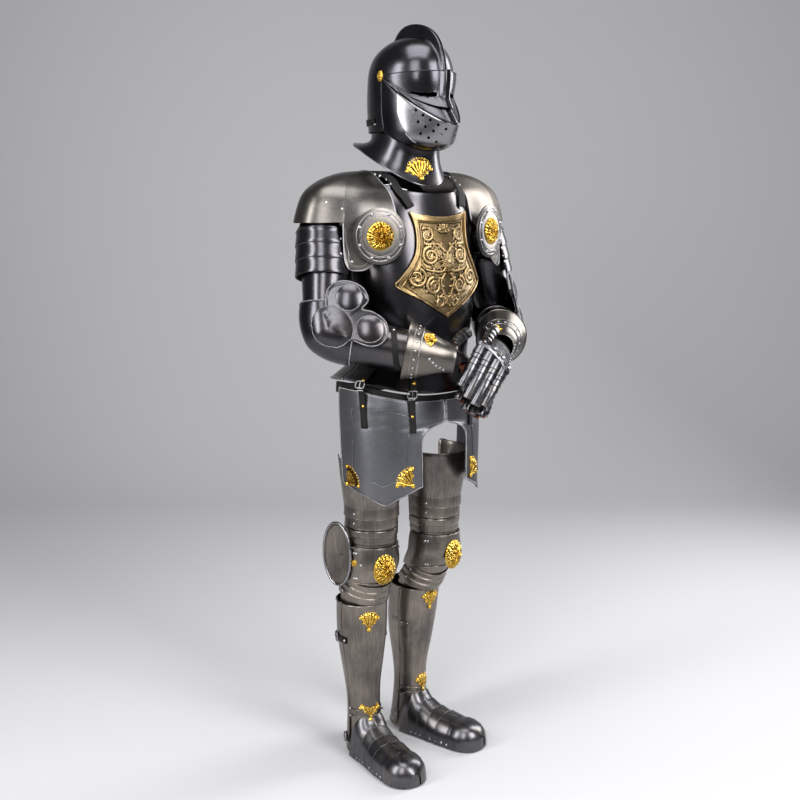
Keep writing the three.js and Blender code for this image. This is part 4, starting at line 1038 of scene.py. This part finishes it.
def round_bone(limb, nodes, along, out, lift=0.0):
    """A place on the outside of the plates round a bone."""
    turn = math.radians(limb["sign"] * out)
    away = limb["front"] * math.cos(turn) + limb["side"] * math.sin(turn)
    middle = limb["start"] + limb["axis"] * along * MM
    best = None
    for node in nodes:
        hit, facing, _, _ = tree_of(node).ray_cast(middle + away * 0.16, -away, 0.16)
        if hit and (best is None or (hit - middle).length > (best[0] - middle).length):
            best = (hit, facing)
    if best is None:
        return on_plate(nodes[0], middle + away * 0.06, lift)
    return best[0] + best[1] * lift * MM, best[1]


def rounded(value, power):
    """A sine or cosine with its curve made squarer."""
    return math.copysign(abs(value) ** power, value)


def limb_place(limb, rows, along, out, lift=0.0):
    half, front, back = (np.interp(along, [r[0] for r in rows], [r[k] for r in rows]) for k in (1, 2, 3))
    turn = math.radians(limb["sign"] * out)
    s, c = math.sin(turn), math.cos(turn)
    depth = front if c > 0 else back
    sideways = rounded(s, 0.95) * (half + lift)
    forward = rounded(c, 0.95) * (depth + lift)
    return limb["start"] + (limb["axis"] * along + limb["side"] * sideways + limb["front"] * forward) * MM


def limb_shell(name, limb, rows, alongs, outs, material, wall=1.6):
    top = [[limb_place(limb, rows, a, o) for o in outs] for a in alongs]
    under = [[limb_place(limb, rows, a, o, -wall) for o in outs] for a in alongs]
    return shell(name, top, under, material)


def band(name, limb, nodes, alongs, outs, lifts, material):
    """A plate that lies on others round a bone, with its own lift at each row."""
    top = [[round_bone(limb, nodes, a, o, up)[0] for o in outs] for a, up in zip(alongs, lifts)]
    under = [[round_bone(limb, nodes, a, o, up - 1.4)[0] for o in outs] for a, up in zip(alongs, lifts)]
    return shell(name, top, under, material)


# %% [markdown]
# ## Lames at thigh, knee and ankle
# Narrow overlapping strips let a stiff leg bend, and thinner ones under them close the gaps. Each is a
# shell of rings round its bone, either laid on the plates there or given by its own half widths.

# %% Lames that close the knees and ankles
KNEE_RING = [(0, 62, 63, 58), (60, 61, 61, 58)]
CALF_RING = [(90, 58, 58, 58), (130, 57, 57, 58)]
ANKLE_RING = [(290, 40, 50, 36), (340, 41, 54, 37), (380, 42, 56, 39), (424, 43, 57, 42)]
for side, bones in BONES.items():
    limb_shell(side + "_knee_under_lame", bones["shin"], KNEE_RING, (6, 24, 42, 58),
               np.linspace(-116, 116, 40), LEG_STEEL)
    limb_shell(side + "_calf_under_lame", bones["shin"], CALF_RING, (94, 110, 128),
               np.linspace(-112, 112, 40), LEG_STEEL)
    limb_shell(side + "_ankle_plate", bones["calf"], ANKLE_RING, np.linspace(292, 421, 8),
               np.linspace(-175, 175, 64), LEG_STEEL)
    outs = np.linspace(-112, 112, 44)
    thigh, cuisse = bones["thigh"], [side + "_cuisse"]
    for k, along in enumerate((164, 190, 214)):
        band(f"{side}_thigh_lame_{k + 1}", thigh, cuisse,
             (along, along + 12, along + 24, along + 26), outs, (0.2, 2.2, 4.2, 4.2), LEG_STEEL)
        add_line("leg", 1.2, [round_bone(thigh, cuisse, along + 26, out, 3.4)[0] for out in outs])
        for out in (68 + 2 * k, -68):
            add_rivet(*round_bone(thigh, cuisse, along + 14, out, 1.8), 3.4)
    for along, out in ((60, 90), (86, 91), (60, -90), (86, -91)):
        add_rivet(*round_bone(bones["shin"], [side + "_shin_lames"], along, out, 0.4), 3.4)
    for out in (92, 84, -92, -84):
        for along in (-34, 34):
            add_rivet(*round_bone(thigh, [side + "_poleyn"], 315 + along, out * 0.72, 0.2), 3.4)
    ring = [round_bone(bones["calf"], [side + "_greave", side + "_greave_back"], 296, out, 0.8)[0]
            for out in np.linspace(-86, 86, 44)]
    add_line("leg", 1.7, ring)
    add_rivet(*round_bone(bones["calf"], [side + "_greave"], 297, 84, 1.0), 3.8)
    ridge = [round_bone(bones["calf"], [side + "_greave"], along, 0, -0.6)[0] for along in range(75, 290, 8)]
    add_line("leg", 1.4, ridge)

# %% [markdown]
# ## Shoes
# A sabaton is a row of lames that slide over each other like a lobster's tail, riveted along the sole,
# and it ends in one bulbous toe cap.

# %% Sabaton lames, toe cap and sole rivets
SHOE_LAMES = [(38, 74), (70, 106), (102, 138), (134, 172)]
TOE_CAP = (184, 192, 206, 222, 236, 246, 251)
TOE_LIFT = (1.6, 3.6, 4.4, 4.6, 4.4, 3.6, 3.0)


def shoe_spot(side, along, turn, lift):
    j = JOINTS[side]
    ankle = floor_mm(j["ankle"][0], j["ankle"][1], 0) * MM
    ahead = Vector((j["toe"][0] - j["ankle"][0], j["toe"][1] - j["ankle"][1], 0)).normalized()
    across = Vector((-ahead.y, ahead.x, 0))
    a = math.radians(turn)
    middle = ankle + ahead * along * MM + Vector((0, 0, 0.004))
    away = across * math.sin(a) + Vector((0, 0, math.cos(a)))
    hit, facing, _, _ = tree_of(side + "_sabaton").ray_cast(middle + away * 0.2, -away, 0.2)
    if hit is None:
        hit, facing, _, _ = tree_of(side + "_sabaton").find_nearest(middle + away * 0.03)
    return hit + facing * lift * MM, facing


def shoe_plate(name, side, rows, wall):
    top = [[shoe_spot(side, a, t, up)[0] for t in SHOE_TURNS] for a, up in rows]
    under = [[shoe_spot(side, a, t, up - wall)[0] for t in SHOE_TURNS] for a, up in rows]
    shell(name, top, under, SHOE_STEEL)


SHOE_TURNS = np.concatenate([np.linspace(-88, -30, 16), np.linspace(-24, 24, 14), np.linspace(30, 88, 16)])
for side in SIDES:
    for k, (start, end) in enumerate(SHOE_LAMES):
        rows = list(zip(np.linspace(end, start, 5), (0.3, 1.6, 2.6, 3.6, 3.6)))
        shoe_plate(f"{side}_shoe_lame_{k + 1}", side, rows, 1.3)
        add_line("shoe", 1.1, [shoe_spot(side, start, t, 3.2)[0] for t in SHOE_TURNS])
    shoe_plate(side + "_toe_cap", side, list(zip(TOE_CAP, TOE_LIFT)), 1.5)
    for along in (50, 66, 82, 118, 138, 158, 176):
        for turn in (-80, 80):
            add_rivet(*shoe_spot(side, along, turn, 1.6), 3.4)
    add_line("leg", 1.3, [shoe_spot(side, a, 0, 2.3)[0] for a in range(44, 180, 8)])

# %% [markdown]
# ## Gauntlets
# Each finger is covered by small overlapping scales, riveted to a leather glove that shows between
# them. The scales follow the bent path of the finger and grow smaller to the tip.

# %% Finger scales
FINGERS = [(-38, 104, 12.5), (-13, 118, 13), (12, 116, 13), (36, 96, 12)]
THUMBS = {"right": ((2, -248, 1152), (-0.9, -0.1, -0.3), (-0.8, -0.1, -0.6)),
          "left": ((56, -284, 1156), (-0.8, -0.3, -0.2), (-0.7, -0.3, -0.6))}
HALF_WRIST, HALF_KNUCKLE, HAND_ARCH = 31.6, 50.0, 10.0


def hand_frame(side):
    j = JOINTS[side]
    wrist = floor_mm(*j["wrist"])
    forward = floor_mm(*j["knuckle"]) - wrist
    length = forward.length
    forward = forward.normalized()
    spread = Vector(j["spread"])
    spread = (spread - forward * spread.dot(forward)).normalized()
    back = spread.cross(forward)
    if back.z < 0:
        back = -back
    return wrist, forward, length, spread, back


def back_of_hand(side, u, along, rise=0.0):
    wrist, forward, length, spread, back = hand_frame(side)
    wide = HALF_WRIST + (HALF_KNUCKLE - HALF_WRIST) * along / length
    return wrist + forward * along + spread * u * wide + back * (6 + HAND_ARCH * (1 - u * u) + rise)


def finger_ring(side, start, first, last, length, radius, t, lift, turns):
    _, _, _, spread, back = hand_frame(side)
    first, last = Vector(first).normalized(), Vector(last).normalized()
    place, steps = start.copy(), 20
    for k in range(int(round(t * steps))):
        place = place + first.lerp(last, (k + 0.5) / steps).normalized() * length / steps
    along = first.lerp(last, t).normalized()
    across = (spread - along * spread.dot(along)).normalized()
    up = across.cross(along)
    if up.dot(back) < 0:
        up = -up
    size = radius * (1 - 0.22 * t) + lift
    return [(place + across * size * math.sin(math.radians(a)) + up * size * math.cos(math.radians(a))) * MM
            for a in turns]


def finger_scales(name, side, start, first, last, length, radius, count):
    def rings(rows, turns, wall=0.0):
        return [finger_ring(side, start, first, last, length, radius, t, up - wall, turns) for t, up in rows]

    turns = np.linspace(-88, 88, 15)
    for k in range(count):
        t0, t1 = k / count, min(1.0, (k + 1.25) / count)
        rows = [(t0, 1.8), (t0 + (t1 - t0) * 0.5, 3.4), (t1, 4.9)]
        shell(f"{name}_scale_{k + 1}", rings(rows, turns), rings(rows, turns, 1.1), HAND_STEEL)
    glove_turns = np.linspace(70, 290, 12)
    rows = [(t, -0.6) for t in np.linspace(0, 1, 9)]
    shell(name + "_leather", rings(rows, glove_turns), rings(rows, glove_turns, 2.4), GLOVE_LEATHER)


for side, j in JOINTS.items():
    _, _, length, _, back = hand_frame(side)
    first, last = j["fingers"]
    for k, (across, long, radius) in enumerate(FINGERS):
        start = back_of_hand(side, across / HALF_KNUCKLE, length, -radius)
        finger_scales(f"{side}_finger_{k + 1}", side, start, first, last, long, radius, 7)
    root, first, last = THUMBS[side]
    finger_scales(side + "_thumb_finger", side, floor_mm(*root), first, last, 52, 12, 4)
    for k, along in enumerate(np.linspace(26, length - 8, 5)):
        path = [back_of_hand(side, u, along, 2.4) * MM for u in np.linspace(-1, 1, 15)]
        add_line("hand", 1.3, path)
        for u in (-0.94, 0.94):
            add_rivet(back_of_hand(side, u, along, 3.0) * MM, back, 2.4)
    for u in np.linspace(-0.85, 0.85, 4):
        add_rivet(back_of_hand(side, u, length, 7.6) * MM, back, 5.0)

# %% [markdown]
# ## Arms
# The cuffs are roped at their open end, with a ridge and a row of rivets, and carry a brass palmette.
# The elbow cups have a round overlay and two lobes with roped edges.

# %% Cuffs, elbow overlays and arm straps
def domed_disc(name, node, centre, facing, up_way, reach, dome):
    """A thin round plate on another plate, raised in the middle, with a bead round its edge."""
    up, across = plate_axes(facing, up_way)
    top, under = [], []
    for t in np.linspace(0.02, 1, 9):
        row, low = [], []
        for k in range(48):
            flat = centre + swung(up, across, 2 * math.pi * k / 48) * reach * t * MM
            place, way = on_plate(node, flat + facing * 0.02)
            row.append(place + way * (1.6 + dome * (1 - t * t)) * MM)
            low.append(place - way * 0.3 * MM)
        top.append(row)
        under.append(low)
    shell(name, top, under, BLACK_STEEL, wrap=True)
    add_line("rope", 1.2, top[-1], True)


def strap_over(name, limb, hosts, path, widths, lift, top_mm, low_mm):
    """A leather strap over plates, along pairs of a place on the bone and a turn."""
    rows = [[round_bone(limb, hosts, along + w, out, lift) for w in widths] for along, out in path]
    top = [[place + facing * top_mm * MM for place, facing in row] for row in rows]
    under = [[place + facing * low_mm * MM for place, facing in row] for row in rows]
    shell(name, top, under, STRAP_LEATHER)


LOBES = (("overlay", 2, 14, 57, 4), ("upper_lobe", 88, 60, 32, 6), ("fore_lobe", 22, 112, 33, 6))
LOBE_OUT = 61        # mm from the elbow's axis to the outside of the cup
COUTER_RIVETS = ((-307.7, -101.9, -227.9), (-288.5, -120, -223.1), (-274, -145.6, -259.5),
                 (-286.7, -137.8, -281.6))
PAULDRON_RIVETS = ((-242.8, -77.6, 14.4), (-232.6, -101.9, -109.2), (-252, -30, 20), (-226, 70, 20))
for side, bones in BONES.items():
    sign = SIDES[side]
    lower, upper = bones["lower"], bones["upper"]
    centre = lower["start"] + lower["axis"] * 0.22
    add_rims(side + "_cuff", centre, 2.2, "rope",
             keep=lambda p, c=centre, a=lower["axis"]: (p * MM - c).dot(a) < 0.03)
    wrist, _, _, _, back = hand_frame(side)
    add_rims(side + "_hand", (wrist - back * 60) * MM, 0.9, "hand")
    add_rims(side + "_vambrace", lower["start"] + lower["axis"] * 0.12, 1.3, "bright")
    for along, radius in ((214, 0.9), (232, 2.0)):
        ring = [round_bone(lower, [side + "_cuff"], along, out, 0.3)[0] for out in np.linspace(30, 250, 60)]
        add_line("bright", radius, ring)
    for out in np.linspace(40, 240, 11):
        add_rivet(*round_bone(lower, [side + "_cuff"], 222, out), 2.8)
    for out in np.linspace(175, 215, 5):
        add_rivet(*round_bone(lower, [side + "_cuff"], 258 + (out - 175) * 0.9, out), 3.2)
    place, _ = round_bone(lower, [side + "_cuff"], 262, 118 if side == "right" else 60)
    root = (lower["start"] + lower["axis"] * 0.262) / MM
    fan_relief(side + "_cuff_fan", side + "_cuff", place / MM, lower["axis"] * -1, root, 26, 150, 7)
    path = [(160 + 30 * (out - 104) / 132, out) for out in np.linspace(104, 236, 40)]
    strap_over(side + "_arm_strap", lower, [side + "_vambrace"], path, (-7, -3, 3, 7), 0.0, 2.6, 0.1)
    add_rivet(*round_bone(lower, [side + "_vambrace"], 162, 110, 2.6), 3.0)
    couter = side + "_couter"
    up_arm, fore = -upper["axis"], lower["axis"]
    out_way = up_arm.cross(fore).normalized()
    if out_way.dot(Vector((sign, -1, 0))) < 0:
        out_way = -out_way
    elbow = floor_mm(*JOINTS[side]["elbow"]) * MM
    for name, up_mm, fore_mm, reach, dome in LOBES:
        centre = elbow + (up_arm * up_mm + fore * fore_mm + out_way * LOBE_OUT) * MM
        domed_disc(f"{couter}_{name}", couter, centre, out_way, up_arm, reach, dome)
    add_rims(couter, elbow, 1.9, "rope")
    measured = BONES["right"]["upper"]
    for mm in COUTER_RIVETS:
        local = Vector(mm) * MM - measured["start"]
        down, ahead, aside = (local.dot(measured[way]) for way in ("axis", "front", "side"))
        mark = upper["start"] + upper["axis"] * down + upper["front"] * ahead + upper["side"] * (aside * -sign)
        add_rivet(*on_plate(couter, mark), 3.4)
    for along in (30, 66, 102):
        for out in (8, 150):
            add_rivet(*round_bone(upper, [side + "_pauldron_lames"], along, out), 3.2)
    for mm in PAULDRON_RIVETS:
        rivet_at(side + "_pauldron", on_side(sign, mm), 3.6)

# %% [markdown]
# ## Knees
# The knee's side wing has a thick rolled rim. A rivet and a small brass flower mark where it is pinned
# to the cup.

# %% Knee wings and flowers
for side, bones in BONES.items():
    sign = SIDES[side]
    knee = floor_mm(*JOINTS[side]["knee"]) * MM
    thigh = bones["thigh"]
    out_way = thigh["side"] * sign
    facing = (out_way + thigh["front"] * 0.35).normalized()
    centre = knee + (out_way * 86 - thigh["front"] * 20 + Vector((0, 0, 22))) * MM
    up, across = plate_axes(facing, UP)
    node = side + "_poleyn"
    for share, radius, kind in ((0.985, 3.2, "bright"), (0.90, 0.9, "leg")):
        ring = []
        for k in range(72):
            a = 2 * math.pi * k / 72
            flat = centre + (across * math.sin(a) * 48 + up * math.cos(a) * 84) * share * MM
            ring.append(on_plate(node, flat + facing * 0.004, 0.6)[0])
        add_line(kind, radius, ring, True)
    place, way = round_bone(thigh, [node], 306, 64, 0.2)
    rosette(side + "_knee_flower", place, way, 9, 9, 2.4, BRASS, 6, 1.8)
    add_rivet(*round_bone(thigh, [node], 309, 49), 3.6)
    for edge in (-48, 48):
        path = [round_bone(thigh, [node], 315 + edge, out, 0.4)[0] for out in np.linspace(-74, 74, 40)]
        add_line("leg", 1.5, path)

# %% [markdown]
# ## Straps and buckles
# Each strap ends in a steel buckle: a bent wire frame with a tongue, held by a keeper and a rivet.


# %% Buckles, hinges and studs
BUCKLE_WIRE = 1.5
STRAP_RIVETS = ((-169.7, -23.4, 99.9), (-156.7, -38.2, 95), (-145.6, -55.5, 85.4), (-134.9, -73.2, 73.4),
                (-122.5, -84.6, 63.9))
NAPE_RIVET = (-91.1, -13.3, 216.8)


def buckle(place, facing, along, wide, long):
    """A wire frame and tongue, lying on a strap that runs along a direction."""
    along = (along - facing * along.dot(facing)).normalized()
    across = facing.cross(along)
    corners = []
    for k in range(24):
        a = 2 * math.pi * (k + 0.5) / 24
        c, s = math.cos(a), math.sin(a)
        flat = along * rounded(c, 0.45) * long / 2 + across * rounded(s, 0.45) * wide / 2
        corners.append(place + (flat + facing * 2.2) * MM)
    add_line("bright", BUCKLE_WIRE, corners, True)
    tongue = [place + (along * long * k + facing * 3.4) * MM for k in (-0.52, 0, 0.56)]
    add_line("bright", BUCKLE_WIRE * 0.8, tongue)


def strap_spot(node, z_mm):
    corners = [v.co / MM for v in plates[node].data.vertices]
    near = sorted(corners, key=lambda p: abs(p.z - z_mm))[:8]
    middle = sum(near, Vector()) / len(near)
    outward = Vector((middle.x, middle.y, 0)).normalized()
    return on_plate(node, (middle + outward * 12) * MM, 0.2)


for side, sign in SIDES.items():
    for which, buckle_z, pin_z, tip_z in (("outer", -403, -392, -458), ("inner", -428, -403, -489)):
        node = f"{side}_tasset_strap_{which}"
        for z, size in ((pin_z, 4.0), (tip_z, 3.2)):
            add_rivet(*strap_spot(node, z), size, "brass")
        place, facing = strap_spot(node, buckle_z)
        buckle(place, facing, UP, 24, 18)
        keeper, keeper_facing = strap_spot(node, buckle_z - 20)
        across = keeper_facing.cross(UP).normalized()
        add_line("bright", 1.6, [keeper + (across * k + keeper_facing * 1.4) * MM for k in (-9, -4, 0, 4, 9)])
    for mm in STRAP_RIVETS:
        rivet_at(side + "_shoulder_strap", on_side(sign, mm), 3.6, "bright")
    for along in (100, 386):
        calf = BONES[side]["calf"]
        hosts = [side + "_greave", side + "_greave_back"]
        path = [(along, out) for out in np.linspace(72, 132, 24)]
        strap_over(f"{side}_calf_strap_{along}", calf, hosts, path, (-8, -3, 3, 8), 1.2, 2.4, -0.4)
        place, facing = round_bone(calf, hosts, along, 112, 3.4)
        buckle(place, facing, facing.cross(UP), 24, 20)
        add_rivet(*round_bone(calf, hosts, along, 78, 3.4), 3.6)
        for out in (-74, -106):
            place, facing = round_bone(calf, hosts, along, out, 0.6)
            rosette(f"{side}_hinge_{along}_{abs(out)}", place, facing, 15, 10, 0.6, LEG_STEEL, 4, 0.5)
            for shift in (-8, 8):
                add_rivet(*round_bone(calf, hosts, along, out + shift, 1.4), 2.4)
        pin = [round_bone(calf, hosts, along + w, -90, 2.6)[0] for w in (-12, -4, 4, 12)]
        add_line("leg", 2.6, pin)

# A bright bead along the lower edge of the painted highlight on each side of the face plate.
line_on("bevor", HIGHLIGHT_EDGE, 0.3, "bright", 1.4)
line_on("bevor", mirrored(HIGHLIGHT_EDGE), 0.3, "bright", 1.4)
for sign in SIDES.values():
    rivet_at("nape_strap", on_side(sign, NAPE_RIVET), 3.6, "bright")

# %% [markdown]
# ## Growing the rivets and beads
# The places gathered so far become bare points and paths, one mesh for each metal, size and body, and
# the node trees turn them into rivets, beads and ropes.

# %% Grow every rivet and bead
RIVET_METALS = {"steel": RIVET_STEEL, "brass": BRASS, "bright": RIVET_STEEL}
# Bright and roped beads take the pale rim metal, a painted highlight along the edges.
LINE_METALS = {"bright": RIM_HIGHLIGHT_STEEL, "leg": LEG_STEEL, "hand": HAND_STEEL, "bronze": BRONZE, "rope": RIM_HIGHLIGHT_STEEL,
               "black": BLACK_STEEL, "shoe": SHOE_STEEL, "satin": SATIN_STEEL}
for kind, items in rivets.items():
    mesh = bpy.data.meshes.new("rivets_" + kind)
    mesh.from_pydata([tuple(place) for place, _, _ in items], [], [])
    mesh.attributes.new("facing", "FLOAT_VECTOR", "POINT")
    mesh.attributes.new("size", "FLOAT", "POINT")
    ways = [c for _, way, _ in items for c in way]
    mesh.attributes["facing"].data.foreach_set("vector", ways)
    mesh.attributes["size"].data.foreach_set("value", [radius * MM for _, _, radius in items])
    grown("rivets_" + kind, mesh, RIVETS, {"Flatness": 0.62, "Material": RIVET_METALS[kind]})
for (kind, radius, body), paths in lines.items():
    places, edges = [], []
    for path, closed in paths:
        base = len(places)
        places += [tuple(p) for p in path]
        edges += [(base + k, base + k + 1) for k in range(len(path) - 1)]
        if closed:
            edges.append((base + len(path) - 1, base))
    name = f"{kind}_bead_{radius:.1f}".replace(".", "_") + ("_visor" if body == "visor" else "")
    mesh = bpy.data.meshes.new(name)
    mesh.from_pydata(places, edges, [])
    tree = ROPES if kind == "rope" else BEADS
    grown(name, mesh, tree, {"Radius": radius * MM, "Material": LINE_METALS[kind]}, body)
print("rivets", {k: len(v) for k, v in rivets.items()}, "paths", sum(len(v) for v in lines.values()))

# %% [markdown]
# ## Studio
# A pale floor that sweeps up behind the suit, large soft lights and a camera at the photograph's angle.

# %% Camera, floor and lights
CAMERA_PLACE = Vector((-1.9028, -2.3591, 1.462)) - CARRY_POINT * MM
CAMERA_TARGET = Vector((0, 0, 0.955)) - CARRY_POINT * MM
PAPER_HALF, PAPER_BEND, PAPER_ROUND = 9, 2.6, 1.6    # m: half width, start and radius of the upward curve
camera_data = bpy.data.cameras.new("camera")
camera_data.lens = 53.19
camera_data.sensor_width = 36
camera_data.shift_x = -0.0035
camera = bpy.data.objects.new("camera", camera_data)
camera.location = CAMERA_PLACE
camera.rotation_euler = (CAMERA_TARGET - CAMERA_PLACE).to_track_quat("-Z", "Y").to_euler()
bpy.context.scene.collection.objects.link(camera)
bpy.context.scene.camera = camera


def studio_sheet():
    """A floor that curves up into a wall behind the suit, as seen from the camera."""
    view = CAMERA_TARGET - CAMERA_PLACE
    view.z = 0
    view.normalize()
    side = Vector((view.y, -view.x, 0))
    profile = [(-9.0, 0.0), (PAPER_BEND, 0.0)]
    profile += [(PAPER_BEND + PAPER_ROUND * math.sin(a), PAPER_ROUND - PAPER_ROUND * math.cos(a))
                for a in np.linspace(0.1, math.pi / 2, 14)]
    profile += [(PAPER_BEND + PAPER_ROUND, 7.0)]
    mesh = bpy.data.meshes.new("studio_floor")
    places = [view * depth + side * across + Vector((0, 0, FLOOR_Z + rise))
              for depth, rise in profile for across in (-PAPER_HALF, PAPER_HALF)]
    faces = [(2 * i, 2 * i + 1, 2 * i + 3, 2 * i + 2) for i in range(len(profile) - 1)]
    mesh.from_pydata(places, [], faces)
    mesh.shade_smooth()
    obj = bpy.data.objects.new("studio_floor", mesh)
    bpy.context.scene.collection.objects.link(obj)
    return obj


floor = studio_sheet()
paper = bpy.data.materials.new("pale_studio_paper")
paper.use_nodes = True
paper_shader = paper.node_tree.nodes["Principled BSDF"]
paper_shader.inputs["Base Color"].default_value = linear("#c4c4c6")
paper_shader.inputs["Roughness"].default_value = 0.8
floor.data.materials.append(paper)


def soft_light(name, place, target, size, power, colour="#ffffff"):
    light = bpy.data.lights.new(name, "AREA")
    light.shape = "RECTANGLE"
    light.size, light.size_y = size
    light.energy = power
    light.color = linear(colour)[:3]
    obj = bpy.data.objects.new(name, light)
    obj.location = place
    obj.rotation_euler = (Vector(target) - Vector(place)).to_track_quat("-Z", "Y").to_euler()
    bpy.context.scene.collection.objects.link(obj)


soft_light("key", (0.2, -3.2, 1.1), (0, 0, -0.3), (1.4, 2.2), 110)
soft_light("front_left", (-2.6, -1.9, 1.2), (0, 0, -0.3), (1.0, 2.4), 55)
soft_light("left_strip", (-3.0, 0.1, 0.6), (0, 0, -0.3), (0.7, 2.6), 70)
soft_light("right_rim", (2.4, -0.4, 0.7), (0, 0, -0.3), (0.7, 2.4), 60)
soft_light("top", (-0.6, -0.6, 2.4), (0, 0, 0), (1.8, 1.8), 60)
world = bpy.data.worlds.new("studio_air")
bpy.context.scene.world = world
world.use_nodes = True
air = world.node_tree.nodes["Background"]
air.inputs["Color"].default_value = linear("#b8bac0")
air.inputs["Strength"].default_value = 0.22
bpy.context.scene.view_settings.view_transform = "Standard"
